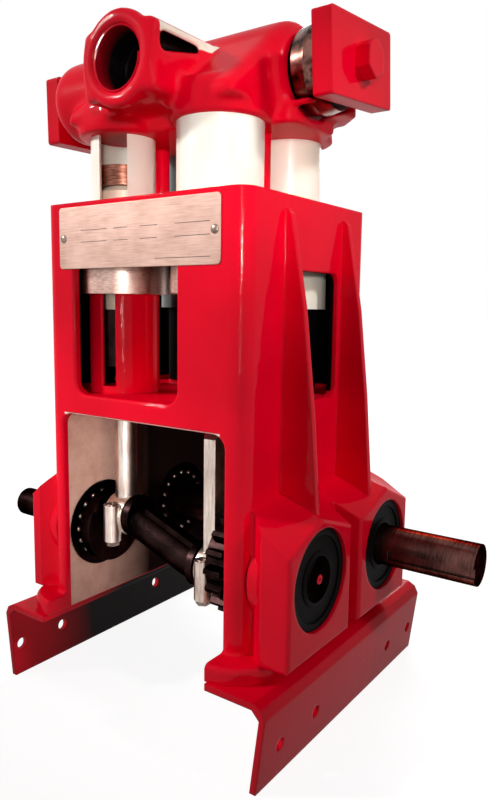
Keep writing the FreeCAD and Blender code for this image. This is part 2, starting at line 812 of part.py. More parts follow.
BASE_HEIGHT = "(head_base_top - head_under)"
lobes = []
for name, x, y, radius in tubes:
    margin = "wide_lobe_margin" if name == "front_right" else "lobe_margin"
    lobe = round_bar("lobe_" + name, "%s + %s" % (radius, margin), BASE_HEIGHT, "head_base_round",
                     [BASE_HEIGHT])
    lobes.append(place(lobe, x, y, "head_under"))
head_base = padded("head_base", "XY_Plane",
                   lambda sketch: rounded(sketch, "rod_left_x - tube_radius",
                                          "rod_right_x + wide_tube_radius",
                                          "crank_y - shoulder_front", "rear_row_y + tube_radius",
                                          "tube_radius"),
                   BASE_HEIGHT)
soften(head_base, "head_base_round", rim_at(BASE_HEIGHT))
lobes.append(place(head_base, z="head_under"))


def head_side(label, side):
    """The ledge under one end of the chamber and the shoulder in front of it."""
    sign = "" if side > 0 else "-"
    pieces = []
    steps = (("upper", "ledge_reach", "ledge_under"), ("lower", "ledge_low_reach", "head_under"))
    for level_word, reach, low in steps:
        points = [("rear_tube_x", "ledge_front"), ("%s - ledge_corner / 3" % reach, "ledge_front"),
                  (reach, "ledge_front + ledge_corner / 2"), (reach, "ledge_back - ledge_corner"),
                  ("%s - ledge_corner" % reach, "ledge_back"), ("rear_tube_x", "ledge_back")]
        points = [(sign + "(%s)" % x, y) for x, y in points]
        ledge = padded("%s_ledge_%s" % (label, level_word), "XY_Plane",
                       lambda sketch: outline(sketch, points),
                       "head_base_top - %s" % low)
        pieces.append(place(ledge, z=low))
    profile = [("shoulder_front", "head_under + head_base_round"), ("shoulder_front", "shoulder_low"),
               ("shoulder_back", "shoulder_top"), ("chamber_y", "shoulder_top"),
               ("chamber_y", "head_under + head_base_round")]
    shoulder = padded(label + "_shoulder", "YZ_Plane", lambda sketch: outline(sketch, profile),
                      "shoulder_reach - neck_half / 2", side < 0)
    end_x = side * number("shoulder_reach - neck_half / 2")

    def on_slope(edge):
        room = edge.BoundBox
        if abs(room.XMin - end_x) > CLOSE or abs(room.XMax - end_x) > CLOSE:
            return False
        return room.ZMax > number("shoulder_low") + CLOSE
    soften(shoulder, "head_base_round", on_slope)
    pieces.append(place(shoulder, sign + "(neck_half / 2)"))
    return fuse(label, pieces)


lobes += side_pair("head_side", head_side)
chamber = round_bar("chamber", "chamber_radius", "2 * chamber_end", "chamber_round",
                    ["0", "2 * chamber_end"])
place(chamber, "-chamber_end", "chamber_y", "chamber_z", ALONG_X)
bulge = round_bar("bulge", "bulge_radius", "bulge_end - neck_half / 2", "bulge_round", ["0"])
place(bulge, "-bulge_end", "bulge_y", "bulge_z", ALONG_X)
neck = padded("neck", "XZ_Plane",
              lambda sketch: rounded(sketch, "-neck_half", "neck_half", "neck_under", "neck_top",
                                     "neck_round"),
              "chamber_y - neck_front")
place(neck, y="chamber_y")
pockets = []
for side, x in (("right", "neck_half - pocket_deep"), ("left", "-neck_half - pocket_deep")):
    pockets.append(box("neck_pocket_" + side, x, "neck_front + pocket_rim", "pocket_low", "2 * pocket_deep",
                       "pocket_back - neck_front - pocket_rim", "neck_top - pocket_rim - pocket_low"))
pocketed_neck = cut("pocketed_neck", neck, fuse("neck_pockets", pockets))
collar = cylinder("port_collar_ring", "port_collar", "neck_front - port_front + pocket_rim", "0",
                  "port_front",
                  "port_z", ALONG_Y)
head_body = fuse("head_body", lobes + [chamber, bulge, pocketed_neck, collar])
port_bore = cylinder("port_bore", "port_radius", "port_depth", "0", "port_front", "port_z", ALONG_Y)
head_bores = [port_bore]
for side, start in (("right", "chamber_end"), ("left", "-chamber_end - ledge_reach")):
    head_bores.append(cylinder("cover_room_" + side, "cover_radius + cover_gap", "ledge_reach", start,
                               "chamber_y",
                               "chamber_z", ALONG_X))
keep(cut("head_casting", head_body, fuse("head_bores", head_bores)))

for side, direction in (("right", 1), ("left", -1)):
    turn = ALONG_X if direction > 0 else FreeCAD.Rotation(FreeCAD.Vector(0, 1, 0), -90)
    sign = "" if direction > 0 else "-"
    groove = "cover_radius - cover_groove_deep"
    rim = "cover_radius - cover_crown"
    cover = turned("valve_cover_" + side,
                   [("0", "0"), (groove, "0"), (groove, "cover_groove"), (rim, "cover_groove"),
                    ("cover_radius", "cover_thick / 2"), (rim, "cover_thick - cover_groove"),
                    (groove, "cover_thick - cover_groove"), (groove, "cover_thick"), ("0", "cover_thick")])
    keep(place(cover, sign + "chamber_end", "chamber_y", "chamber_z", turn))
    plate = padded("clamp_plate_" + side, "YZ_Plane",
                   lambda sketch: rounded(sketch, "-clamp_width / 2", "clamp_width / 2",
                                          "-clamp_height / 2",
                                          "clamp_height / 2", "clamp_round"), "clamp_thick", direction < 0)
    tilt = FreeCAD.Rotation(FreeCAD.Vector(1, 0, 0),
                            number("clamp_turn" if direction > 0 else "left_clamp_turn"))
    clamp_y = "chamber_y" if direction > 0 else "chamber_y - left_clamp_shift"
    clamp_z = "chamber_z" if direction > 0 else "chamber_z - left_clamp_drop"
    keep(place(plate, sign + CLAMP_INSIDE, clamp_y, clamp_z, tilt))
    screw = doc.addObject("Part::Prism", "clamp_screw_" + side)
    screw.Label = "clamp_screw_" + side
    screw.Polygon = 6
    bind(screw, "Circumradius", "screw_across / sqrt(3)")
    bind(screw, "Height", "screw_head")
    keep(place(screw, sign + "(%s + clamp_thick)" % CLAMP_INSIDE, clamp_y, clamp_z, turn))

for side, x in (("left", "-stud_x"), ("right", "stud_x")):
    keep(cylinder("tie_stud_" + side, "stud_radius", "head_under - box_top", x, "chamber_y", "box_top"))

# bearings
for name, y, z in (("front", "crank_y", "crank_z"), ("rear", DRIVE_Y, DRIVE_Z)):
    for side, direction in (("right", 1), ("left", -1)):
        race = "journal_radius + running_gap"
        inner = "journal_radius + race_width"
        outer = "bearing_radius - race_width"
        bearing = turned("bearing_%s_%s" % (name, side),
                         [(race, "0"), (inner, "0"), (inner, "race_inset"), (outer, "race_inset"),
                          (outer, "0"),
                          ("bearing_radius", "0"), ("bearing_radius", "bearing_width"),
                          (race, "bearing_width")])
        turn = ALONG_X if direction > 0 else FreeCAD.Rotation(FreeCAD.Vector(0, 1, 0), -90)
        sign = "" if direction > 0 else "-"
        keep(place(bearing, sign + "case_half_inside", y, z, turn))

# seals round the shafts in the outer ends of the bores, and a cap where no shaft comes out
for label, side, hole, y, z in (("shaft_seal_front_right", 1, "crank_end_radius + seal_gap", "crank_y",
                                 "crank_z"),
                                ("shaft_seal_rear_right", 1, "drive_radius + land_rise + seal_gap", DRIVE_Y,
                                 DRIVE_Z),
                                ("shaft_seal_front_left", -1, "stub_radius + land_rise + seal_gap",
                                 "crank_y",
                                 "crank_z"),
                                ("bore_cap_rear_left", -1, "0", DRIVE_Y, DRIVE_Z)):
    seal = turned(label, [(hole, "0"), ("bearing_radius", "0"), ("bearing_radius", "seal_width"),
                          (hole, "seal_width")])
    start = "boss_face - seal_depth - seal_width" if side > 0 else "seal_depth - left_boss_face"
    keep(place(seal, start, y, z, ALONG_X))


# gear wheels
def gear_shape(teeth, module, width, bore, phase):
    """A spur gear with straight-flanked teeth, its axis along X from 0 to width."""
    pitch_radius = teeth * module / 2
    root = pitch_radius - number("tooth_foot") * module
    tip = pitch_radius + number("tooth_head") * module
    half = [(root, number("tooth_foot_share")), (pitch_radius, number("tooth_middle_share")),
            (tip, number("tooth_tip_share"))]
    flanks = [(radius, -share) for radius, share in half] + list(reversed(half))
    step = 2 * math.pi / teeth
    spots = []
    for tooth in range(teeth):
        middle = phase + tooth * step
        for radius, share in flanks:
            angle = middle + share * step
            spots.append(FreeCAD.Vector(0, radius * math.cos(angle), radius * math.sin(angle)))
    face = Part.Face(Part.makePolygon(spots + [spots[0]]))
    wheel = face.extrude(FreeCAD.Vector(width, 0, 0))
    over = number("over")
    hole = Part.makeCylinder(bore, width + 2 * over, FreeCAD.Vector(-over, 0, 0), FreeCAD.Vector(1, 0, 0))
    return wheel.cut(hole)


line_angle = math.atan2(number(DRIVE_Z) - number("crank_z"), number(DRIVE_Y) - number("crank_y"))
for label, teeth, y, z, phase in (
        ("crank_gear", "crank_teeth", "crank_y", "crank_z", line_angle),
        ("drive_gear", "drive_teeth", DRIVE_Y, DRIVE_Z,
         line_angle + math.pi + math.pi / number("drive_teeth"))):
    gear = doc.addObject("Part::Feature", label)
    gear.Shape = gear_shape(int(number(teeth)), number("gear_module"), number("gear_width"),
                            number("journal_radius"), phase)
    gear.Placement = FreeCAD.Placement(FreeCAD.Vector(number("gear_left"), number(y), number(z)),
                                       FreeCAD.Rotation())
    keep(gear)


# shafts
def stepped(label, steps, left):
    """A turned shaft along X from its left end, given as (radius, length) steps."""
    points = [("0", "0")]
    at = "0"
    for radius, length in steps:
        points.append((radius, at))
        at = "%s + %s" % (at, length)
        points.append((radius, at))
    points.append(("0", at))
    return place(turned(label, points), left, rotation=ALONG_X)


drive = stepped("drive_shaft_turned",
                [("journal_radius", "drive_left_end + " + BEARING_OUT),
                 ("drive_radius + land_rise", "boss_face - seal_depth - %s" % BEARING_OUT),
                 ("drive_radius", "drive_end - boss_face + seal_depth")], "-drive_left_end")
place(drive, "-drive_left_end", DRIVE_Y, DRIVE_Z)
keyway = box("keyway", "keyway_start", "%s - drive_radius - over" % DRIVE_Y, "%s - keyway_drop" % DRIVE_Z,
             "drive_end - keyway_start + over", "keyway_depth + over", "keyway_width")
keep(cut("drive_shaft", drive, keyway))

# crankshaft with two throws
crank_parts = [
    cylinder("crank_stub", "stub_radius", "stub_end - %s" % BEARING_OUT, "-stub_end", "crank_y", "crank_z",
             ALONG_X),
    cylinder("crank_left_land", "stub_radius + land_rise", "left_boss_face - seal_depth - %s" % BEARING_OUT,
             "seal_depth - left_boss_face", "crank_y", "crank_z", ALONG_X),
    cylinder("crank_left_journal", "journal_radius", "bearing_width + web_gap", "-" + BEARING_OUT,
             "crank_y",
             "crank_z", ALONG_X),
    cylinder("crank_left_web", "web_radius", "left_web_thick", "-case_half_inside + web_gap", "crank_y",
             "crank_z",
             ALONG_X),
    cylinder("crank_right_web", "web_radius", "right_web_thick", "gear_left - right_web_thick", "crank_y",
             "crank_z", ALONG_X),
    cylinder("crank_right_journal", "journal_radius", BEARING_OUT + " - gear_left", "gear_left", "crank_y",
             "crank_z", ALONG_X),
    cylinder("crank_right_end", "crank_end_radius", "crank_end - %s" % BEARING_OUT, BEARING_OUT, "crank_y",
             "crank_z", ALONG_X),
    cylinder("crank_left_pin", "pin_radius",
             "case_half_inside - web_gap + rod_left_x + big_end_width / 2 + cheek_gap",
             "-case_half_inside + web_gap", "crank_y + " + PIN_DY, "crank_z + " + PIN_DZ, ALONG_X),
    cylinder("crank_right_pin", "pin_radius", "gear_left - rod_right_x + big_end_width / 2",
             "rod_right_x - big_end_width / 2 - cheek_gap", "crank_y - " + PIN_DY, "crank_z - " + PIN_DZ,
             ALONG_X),
]
for side, x, sign in (("left", "rod_left_x + big_end_width / 2 + cheek_gap", "+"),
                      ("right", "rod_right_x - big_end_width / 2 - cheek_gap - cheek_thick", "-")):
    crank_parts.append(cylinder("crank_%s_cheek" % side, "cheek_radius", "cheek_thick", x,
                                "crank_y %s %s" % (sign, PIN_DY), "crank_z %s %s" % (sign, PIN_DZ),
                                ALONG_X))
start = FreeCAD.Vector(number("rod_left_x + big_end_width / 2 + cheek_gap + cheek_thick / 2"),
                       number("crank_y + " + PIN_DY), number("crank_z - arm_drop + " + PIN_DZ))
end = FreeCAD.Vector(number("rod_right_x - big_end_width / 2 - cheek_gap - cheek_thick / 2"),
                     number("crank_y - " + PIN_DY), number("crank_z - arm_drop - " + PIN_DZ))
along = end - start
arm = doc.addObject("Part::Feature", "crank_arm")
arm.Shape = Part.makeCylinder(number("arm_radius"), along.Length, start, along)
crank_parts.append(arm)
strip = doc.addObject("Part::Box", "crank_strip")
bind(strip, "Length", "%r - 2 * strip_inset" % along.Length)
bind(strip, "Width", "strip_width")
bind(strip, "Height", "strip_thick + strip_sunk")
tilt = FreeCAD.Rotation(FreeCAD.Vector(1, 0, 0), along)
lift = FreeCAD.Vector(number("strip_inset"), number("-strip_width / 2"), number("arm_radius - strip_sunk"))
strip.Placement = FreeCAD.Placement(start + tilt.multVec(lift), tilt)
crank_parts.append(strip)
keep(fuse("crankshaft", crank_parts))

# connecting rods, the left with a round shank and the right with a flat one
for side, x, sign in (("left", "rod_left_x", "+"), ("right", "rod_right_x", "-")):
    y = "crank_y %s %s" % (sign, PIN_DY)
    z = "crank_z %s %s" % (sign, PIN_DZ)
    big_end = cylinder("big_end_" + side, "big_end_radius", "big_end_width", x + " - big_end_width / 2", y,
                       z, ALONG_X)
    rod_parts = [big_end]
    for end_word, offset in (("front", " - "), ("rear", " + ")):
        rod_parts.append(cylinder("cap_boss_%s_%s" % (end_word, side), "cap_bolt_boss", "cap_boss_height",
                                  x,
                                  y + offset + "(pin_radius + cap_boss_wall + cap_bolt_boss)",
                                  z + " - cap_boss_height / 2 - cap_boss_drop"))
    if side == "left":
        shank = turned("shank_left", [("0", "0"), ("shank_radius", "0"), ("shank_radius", "shank_full"),
                                      ("shank_neck", "shank_narrow"), ("shank_neck", "rod_length"),
                                      ("0", "rod_length")])
        place(shank, x, y, z)
    else:
        half = [("shank_depth / 2", "0"), ("shank_depth / 2", "shank_full"),
                ("shank_top_depth / 2", "shank_narrow"),
                ("shank_top_depth / 2", "rod_length")]
        flat = half + [("-" + depth, height) for depth, height in reversed(half)]
        shank = padded("shank_right", "YZ_Plane", lambda sketch: outline(sketch, flat), "shank_width")
        place(shank, x + " - shank_width / 2", y, z)
    rod_parts.append(shank)
    wrist_z = z + " + rod_length"
    rod_parts.append(cylinder("eye_" + side, "eye_radius", "eye_width", x + " - eye_width / 2", y, wrist_z,
                              ALONG_X))
    pin_hole = cylinder("pin_hole_" + side, "pin_radius + running_gap", "big_end_width + 2 * over",
                        x + " - big_end_width / 2 - over", y, z, ALONG_X)
    wrist_hole = cylinder("wrist_hole_" + side, "wrist_radius + running_gap", "eye_width + 2 * over",
                          x + " - eye_width / 2 - over", y, wrist_z, ALONG_X)
    rod_body = fuse("rod_body_" + side, rod_parts, refine=False)
    rod_holes = fuse("rod_holes_" + side, [pin_hole, wrist_hole])
    keep(cut("connecting_rod_" + side, rod_body, rod_holes, refine=False))
    keep(cylinder("wrist_pin_" + side, "wrist_radius", "wrist_length", x + " - wrist_length / 2", y,
                  wrist_z, ALONG_X))

doc.recompute()
faults = [item.Label for item in doc.Objects if "Invalid" in item.State or "Error" in item.State]
if faults:
    raise RuntimeError("failed: " + ", ".join(faults))
for piece in finished:
    if piece.Shape.isNull() or not piece.Shape.isValid():
        raise RuntimeError("bad shape: " + piece.Label)

# the pump's middle is halfway along the shafts and halfway along the rails
middle = FreeCAD.Vector(number("(drive_end - stub_end) / 2"), number("(rail_front + rail_back) / 2"), 0)
os.makedirs("parts", exist_ok=True)
for piece in finished:
    shape = piece.Shape.copy()
    shape.translate(-middle)
    shape.exportStep(os.path.join("parts", piece.Label + ".step"))
    print(piece.Label, len(shape.Solids), round(shape.Volume / 1000, 1), "cm3")
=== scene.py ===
import json
import math

import bmesh
import bpy
from bpy.props import FloatProperty, IntProperty, PointerProperty
from mathutils import Matrix, Vector


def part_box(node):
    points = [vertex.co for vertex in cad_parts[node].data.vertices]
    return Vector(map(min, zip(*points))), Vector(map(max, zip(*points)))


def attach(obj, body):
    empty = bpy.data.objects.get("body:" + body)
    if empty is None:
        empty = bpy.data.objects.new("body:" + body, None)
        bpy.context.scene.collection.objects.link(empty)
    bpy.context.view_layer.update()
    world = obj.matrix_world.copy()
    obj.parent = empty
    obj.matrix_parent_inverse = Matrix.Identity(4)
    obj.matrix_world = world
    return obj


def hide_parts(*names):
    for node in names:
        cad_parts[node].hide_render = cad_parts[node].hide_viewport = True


bl_info = {
    "name": "Piston Pump Finish",
    "version": (1, 1, 0),
    "blender": (4, 5, 0),
    "location": "View3D > Sidebar > Pump",
    "description": "Finishes, small fittings and studio for a two-throw piston pump",
    "category": "Object",
}

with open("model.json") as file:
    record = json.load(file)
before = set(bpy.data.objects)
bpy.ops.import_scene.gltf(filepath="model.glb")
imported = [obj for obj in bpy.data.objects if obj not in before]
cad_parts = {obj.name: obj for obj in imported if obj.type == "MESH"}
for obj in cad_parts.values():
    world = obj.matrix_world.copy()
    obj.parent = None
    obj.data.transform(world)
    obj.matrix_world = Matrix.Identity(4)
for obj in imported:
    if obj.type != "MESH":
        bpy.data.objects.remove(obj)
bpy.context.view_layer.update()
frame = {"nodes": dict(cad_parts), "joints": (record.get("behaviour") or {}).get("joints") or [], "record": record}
NODES = frame["nodes"]
MM = 0.001

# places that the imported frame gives
MOUNTS = {mount["name"]: Vector(mount["pos_m"]) for mount in frame["record"]["mounts"]}
JOINTS = {joint["name"]: Vector(joint["pos_m"]) for joint in frame["joints"]}
CRANK_AXIS = JOINTS["crank_spin"]
DRIVE_AXIS = JOINTS["drive_spin"]
PORT_MOUTH = MOUNTS["inlet_port"]
# The casting's side walls stand evenly about the inlet, whose collar stands proud of the front face.
COLLAR_PROUD = 17.5 * MM
WALL_MIDDLE = PORT_MOUTH.x
FRONT_FACE = PORT_MOUTH.y + COLLAR_PROUD

# Parts of the castings that aren't plain red. Each is three ranges in millimetres: across from the middle,
# back from the front face, and up from the floor. The two rooms reach a little into their walls and ceilings,
# so that the inner faces count.
# the crankcase room holds tan primer with painted shade toward its back
CASE_ROOM = ((-82, 82), (5.5, 181), (62.5, 226))
# the box room is painted black inside as painted shade
BOX_ROOM = ((-93, 93), (5, 167), (244, 376))
# the mouth's lip and the neck's right pad take a painted highlight, the neck's pockets painted shadow
MOUTH_LIP_HIGHLIGHT = ((-77, 77), (-1, 1.2), (223.8, 225.9))
NECK_PAD_HIGHLIGHT = ((31, 35), (-9, 52), (484, 500))
NECK_POCKET = ((-31.8, 31.6), (-9, 46), (470, 488))

# the guide tubes of the crossheads, inside the upper box
GUIDE_RADIUS = 27.5 * MM
GUIDE_BORE = 23.5 * MM

# A Mix node has sockets for each kind of value. These are the places of its colour and its number sockets.
COLOUR_A, COLOUR_B, COLOUR_OUT = 6, 7, 2
NUMBER_A, NUMBER_B = 2, 3


# settings that a user would change
class PaintSettings(bpy.types.PropertyGroup):
    """The pump's enamel."""
    peel: FloatProperty(name="Orange peel", description="Width of one dimple in the enamel",
                        default=3.5 * MM, unit="LENGTH")
    edge: FloatProperty(name="Edge rounding", description="Radius that cast edges look rounded to",
                        default=2.4 * MM, unit="LENGTH")


class HeadSettings(bpy.types.PropertyGroup):
    """The cast skin of the pump head."""
    grain: FloatProperty(name="Skin step", description="Mesh step of the cast skin",
                         default=1.6 * MM, unit="LENGTH")
    passes: IntProperty(name="Blending", description="Smoothing passes over the cast skin",
                        default=22, min=1)


class PlateSettings(bpy.types.PropertyGroup):
    """The rating plate on the front of the frame."""
    width: FloatProperty(name="Width", description="Plate's width", default=154.5 * MM, unit="LENGTH")
    height: FloatProperty(name="Height", description="Plate's height", default=45.4 * MM, unit="LENGTH")
    thick: FloatProperty(name="Thickness", description="Sheet thickness", default=0.9 * MM, unit="LENGTH")
    corner: FloatProperty(name="Corner", description="Corner radius", default=3 * MM, unit="LENGTH")
    low: FloatProperty(name="Lower edge", description="Height of the lower edge",
                       default=336.2 * MM, unit="LENGTH")


class ThreadSettings(bpy.types.PropertyGroup):
    """The pipe thread in the inlet."""
    radius: FloatProperty(name="Radius", description="Radius of the plain bore",
                          default=20.9 * MM, unit="LENGTH")
    pitch: FloatProperty(name="Pitch", description="Distance between crests",
                         default=2.209 * MM, unit="LENGTH")
    depth: FloatProperty(name="Depth", description="Height of a crest", default=1.1 * MM, unit="LENGTH")
    turns: IntProperty(name="Turns", description="Turns in the mouth", default=13, min=1)


class BearingSettings(bpy.types.PropertyGroup):
    """Balls in the four bearings."""
    balls: IntProperty(name="Balls", description="Balls in each bearing", default=16, min=3)
    radius: FloatProperty(name="Ball radius", description="Radius of one ball",
                          default=2.3 * MM, unit="LENGTH")
    circle: FloatProperty(name="Circle", description="Radius that the balls run on",
                          default=26.8 * MM, unit="LENGTH")


class BoltSettings(bpy.types.PropertyGroup):
    """The cap bolts of the connecting rods."""
    across: FloatProperty(name="Across flats", description="Width of the hexagon",
                          default=10 * MM, unit="LENGTH")
    head: FloatProperty(name="Head height", description="Height of the head",
                        default=4 * MM, unit="LENGTH")
    offset: FloatProperty(name="Offset", description="Bolt axis to crank pin axis",
                          default=16.5 * MM, unit="LENGTH")


# small helpers
def linear(text):
    """A linear colour with alpha from an sRGB hex value."""
    shares = [int(text[at:at + 2], 16) / 255 for at in (1, 3, 5)]
    return [share / 12.92 if share <= 0.04045 else ((share + 0.055) / 1.055) ** 2.4
            for share in shares] + [1.0]


def add_node(tree, kind, sockets=(), stops=(), **settings):
    """Add a node, set its fields and colour stops, and link or fill its sockets."""
    made = tree.nodes.new(kind)
    for name, value in settings.items():
        setattr(made, name, value)
    for name, value in dict(sockets).items():
        if isinstance(value, bpy.types.Node):
            value = value.outputs[0]
        if isinstance(value, bpy.types.NodeSocket):
            tree.links.new(value, made.inputs[name])
        else:
            made.inputs[name].default_value = value
    for index, (at, colour) in enumerate(stops):
        element = made.color_ramp.elements[index] if index < 2 else made.color_ramp.elements.new(at)
        element.position = at
        element.color = linear(colour)
    return made


def start_material(name):
    """An empty material's node tree and the object's coordinates."""
    material = bpy.data.materials.new(name)
    material.use_nodes = True
    tree = material.node_tree
    tree.nodes.clear()
    return tree, add_node(tree, "ShaderNodeTexCoord").outputs["Object"]


def surface(tree, sockets):
    """Close a material with its shader."""
    shader = add_node(tree, "ShaderNodeBsdfPrincipled", sockets)
    add_node(tree, "ShaderNodeOutputMaterial", {"Surface": shader})


def within(tree, value, low, high, soft):
    """1 where value lies between low and high, with soft edges."""
    rise = add_node(tree, "ShaderNodeMapRange", {"Value": value, "From Min": low, "From Max": low + soft})
    fall = add_node(tree, "ShaderNodeMapRange", {"Value": value, "From Min": high, "From Max": high - soft})
    return add_node(tree, "ShaderNodeMath", {0: rise, 1: fall}, operation="MULTIPLY")


def zone(tree, place, ranges, soft):
    """1 inside a part of the castings given as three ranges in millimetres, with soft edges."""
    axes = add_node(tree, "ShaderNodeSeparateXYZ", {"Vector": place}).outputs
    mask = 1.0
    for axis, start, (low, high) in zip(axes, (WALL_MIDDLE, FRONT_FACE, 0), ranges):
        side = within(tree, axis, start + low * MM, start + high * MM, soft)
        mask = add_node(tree, "ShaderNodeMath", {0: mask, 1: side}, operation="MULTIPLY")
    return mask


# materials
def enamel_skin(tree, place):
    """The cast skin under thick enamel: broad ripples, orange peel, scattered pimples and rounded edges."""
    paint = bpy.context.scene.pump_paint
    edge = add_node(tree, "ShaderNodeBevel", {"Radius": paint.edge}, samples=4)
    ripple = add_node(tree, "ShaderNodeTexNoise", {"Vector": place, "Scale": 1 / (14 * MM), "Detail": 2.0})
    skin = add_node(tree, "ShaderNodeBump", {"Height": ripple, "Distance": 0.5 * MM, "Strength": 0.45,
                                             "Normal": edge})
    dimples = add_node(tree, "ShaderNodeTexNoise", {"Vector": place, "Scale": 1 / paint.peel, "Detail": 2.0})
    peel = add_node(tree, "ShaderNodeBump", {"Height": dimples, "Distance": 0.1 * MM, "Strength": 0.35,
                                             "Normal": skin})
    # pimples of casting sand, 1 to 2 mm across, in patches 60 mm across
    patches = add_node(tree, "ShaderNodeTexNoise", {"Vector": place, "Scale": 1 / (60 * MM), "Detail": 3.0})
    where = add_node(tree, "ShaderNodeMapRange", {"Value": patches, "From Min": 0.6, "From Max": 0.68})
    grit = add_node(tree, "ShaderNodeTexVoronoi", {"Vector": place, "Scale": 1 / (5.5 * MM)})
    lump = add_node(tree, "ShaderNodeMapRange", {"Value": grit, "From Min": 0.2, "From Max": 0.05})
    height = add_node(tree, "ShaderNodeMath", {0: lump, 1: where}, operation="MULTIPLY")
    return add_node(tree, "ShaderNodeBump", {"Height": height, "Distance": 0.4 * MM, "Strength": 0.6,
                                             "Normal": peel})


def enamel_colour(tree, place):
    """The enamel's red, a little deeper where it ran thin."""
    cloud = add_node(tree, "ShaderNodeTexNoise", {"Vector": place, "Scale": 1 / (70 * MM), "Detail": 2.0})
    return add_node(tree, "ShaderNodeValToRGB", {"Fac": cloud}, [(0.32, "#D8001F"), (0.6, "#E60024")])


def enamel_surface(tree, place, colour, changes=()):
    """Close a material as gloss enamel over the cast skin, but for the sockets that changes gives."""
    normal = enamel_skin(tree, place)
    sockets = {"Base Color": colour, "Roughness": 0.36, "Specular IOR Level": 0.01, "Coat Weight": 0.15,
               "Coat Roughness": 0.035, "Normal": normal, "Coat Normal": normal}
    sockets.update(changes)
    surface(tree, sockets)


def sprayed_red_enamel(name):
    """Gloss enamel sprayed on iron: a deep even red, and small hard highlights broken by the cast skin."""
    tree, place = start_material(name)
    enamel_surface(tree, place, enamel_colour(tree, place))


def rail_enamel_painted_shade(name):
    """Enamel on the left rail, with painted shade turning its inner face black toward the back."""
    tree, place = start_material(name)
    axes = add_node(tree, "ShaderNodeSeparateXYZ", {"Vector": place}).outputs
    along = add_node(tree, "ShaderNodeMapRange", {"Value": axes["Y"], "From Min": FRONT_FACE + 8 * MM,
                                                  "From Max": FRONT_FACE + 66 * MM})
    faces = add_node(tree, "ShaderNodeNewGeometry").outputs["Normal"]
    turned = add_node(tree, "ShaderNodeSeparateXYZ", {"Vector": faces}).outputs
    inner = add_node(tree, "ShaderNodeMapRange", {"Value": turned["X"], "From Min": 0.2, "From Max": 0.6})
    painted_shade = add_node(tree, "ShaderNodeMath", {0: along, 1: inner}, operation="MULTIPLY")
    colour = add_node(tree, "ShaderNodeMix", {0: painted_shade, COLOUR_A: enamel_colour(tree, place),
                                              COLOUR_B: linear("#140A0A")}, data_type="RGBA")
    enamel_surface(tree, place, colour.outputs[COLOUR_OUT])


def enamelled_frame_casting(name):
    """The frame's enamel: tan primer inside the crankcase with painted shade toward the back, painted shade inside
    the upper box, and a painted highlight along the mouth's lip.
    """
    tree, place = start_material(name)
    axes = add_node(tree, "ShaderNodeSeparateXYZ", {"Vector": place}).outputs
    blotch = add_node(tree, "ShaderNodeTexNoise", {"Vector": place, "Scale": 1 / (16 * MM), "Detail": 4.0,
                                                   "Roughness": 0.65})
    tan = add_node(tree, "ShaderNodeValToRGB", {"Fac": blotch},
                   [(0.3, "#DCA594"), (0.5, "#EAB6A2"), (0.75, "#F4C6B6")])
    # painted shade: the primer darkens to near black toward the back of the crankcase
    deep = add_node(tree, "ShaderNodeMapRange", {"Value": axes["Y"], "From Min": FRONT_FACE + 40 * MM,
                                                 "From Max": FRONT_FACE + 100 * MM})
    shaded_primer = add_node(tree, "ShaderNodeMix", {0: deep, COLOUR_A: tan, COLOUR_B: linear("#1B0F0E")},
                     data_type="RGBA")
    case = zone(tree, place, CASE_ROOM, 0.4 * MM)
    first = add_node(tree, "ShaderNodeMix", {0: case, COLOUR_A: enamel_colour(tree, place),
                                             COLOUR_B: shaded_primer.outputs[COLOUR_OUT]}, data_type="RGBA")
    # painted shade: the upper box is black inside, but for the two red guides, whose bores are black again
    loft = zone(tree, place, BOX_ROOM, 0.8 * MM)
    flat = add_node(tree, "ShaderNodeVectorMath", {0: place, 1: (1, 1, 0)}, operation="MULTIPLY")
    gaps = []
    for node in ("crosshead_left", "crosshead_right"):
        low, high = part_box(node)
        axis = ((low.x + high.x) / 2, (low.y + high.y) / 2, 0)
        gap = add_node(tree, "ShaderNodeVectorMath", {0: flat, 1: axis}, operation="DISTANCE")
        gaps.append(gap.outputs["Value"])
    away = add_node(tree, "ShaderNodeMath", {0: gaps[0], 1: gaps[1]}, operation="MINIMUM")
    bare = add_node(tree, "ShaderNodeMapRange", {"Value": away, "From Min": GUIDE_RADIUS + 1 * MM,
                                                 "From Max": GUIDE_RADIUS + 2 * MM})
    bore = add_node(tree, "ShaderNodeMapRange", {"Value": away, "From Min": GUIDE_BORE + 2 * MM,
                                                 "From Max": GUIDE_BORE + 1 * MM})
    either = add_node(tree, "ShaderNodeMath", {0: bare, 1: bore}, operation="ADD", use_clamp=True)
    box_painted_shade = add_node(tree, "ShaderNodeMath", {0: loft, 1: either}, operation="MULTIPLY")
    second = add_node(tree, "ShaderNodeMix", {0: box_painted_shade, COLOUR_A: first.outputs[COLOUR_OUT],
                                              COLOUR_B: linear("#0B0808")}, data_type="RGBA")
    # painted highlight: a pale line along the lip over the crankcase's mouth
    lip = zone(tree, place, MOUTH_LIP_HIGHLIGHT, 0.5 * MM)
    colour = add_node(tree, "ShaderNodeMix", {0: lip, COLOUR_A: second.outputs[COLOUR_OUT],
                                              COLOUR_B: linear("#FFE9DF")}, data_type="RGBA")
    # the primer and the painted shade have no gloss
    hidden = add_node(tree, "ShaderNodeMath", {0: case, 1: box_painted_shade}, operation="MAXIMUM")
    dull = add_node(tree, "ShaderNodeMapRange", {"Value": hidden, "To Min": 0.15, "To Max": 0.0})
    rough = add_node(tree, "ShaderNodeMapRange", {"Value": hidden, "To Min": 0.38, "To Max": 0.7})
    enamel_surface(tree, place, colour.outputs[COLOUR_OUT], {"Roughness": rough, "Coat Weight": dull})


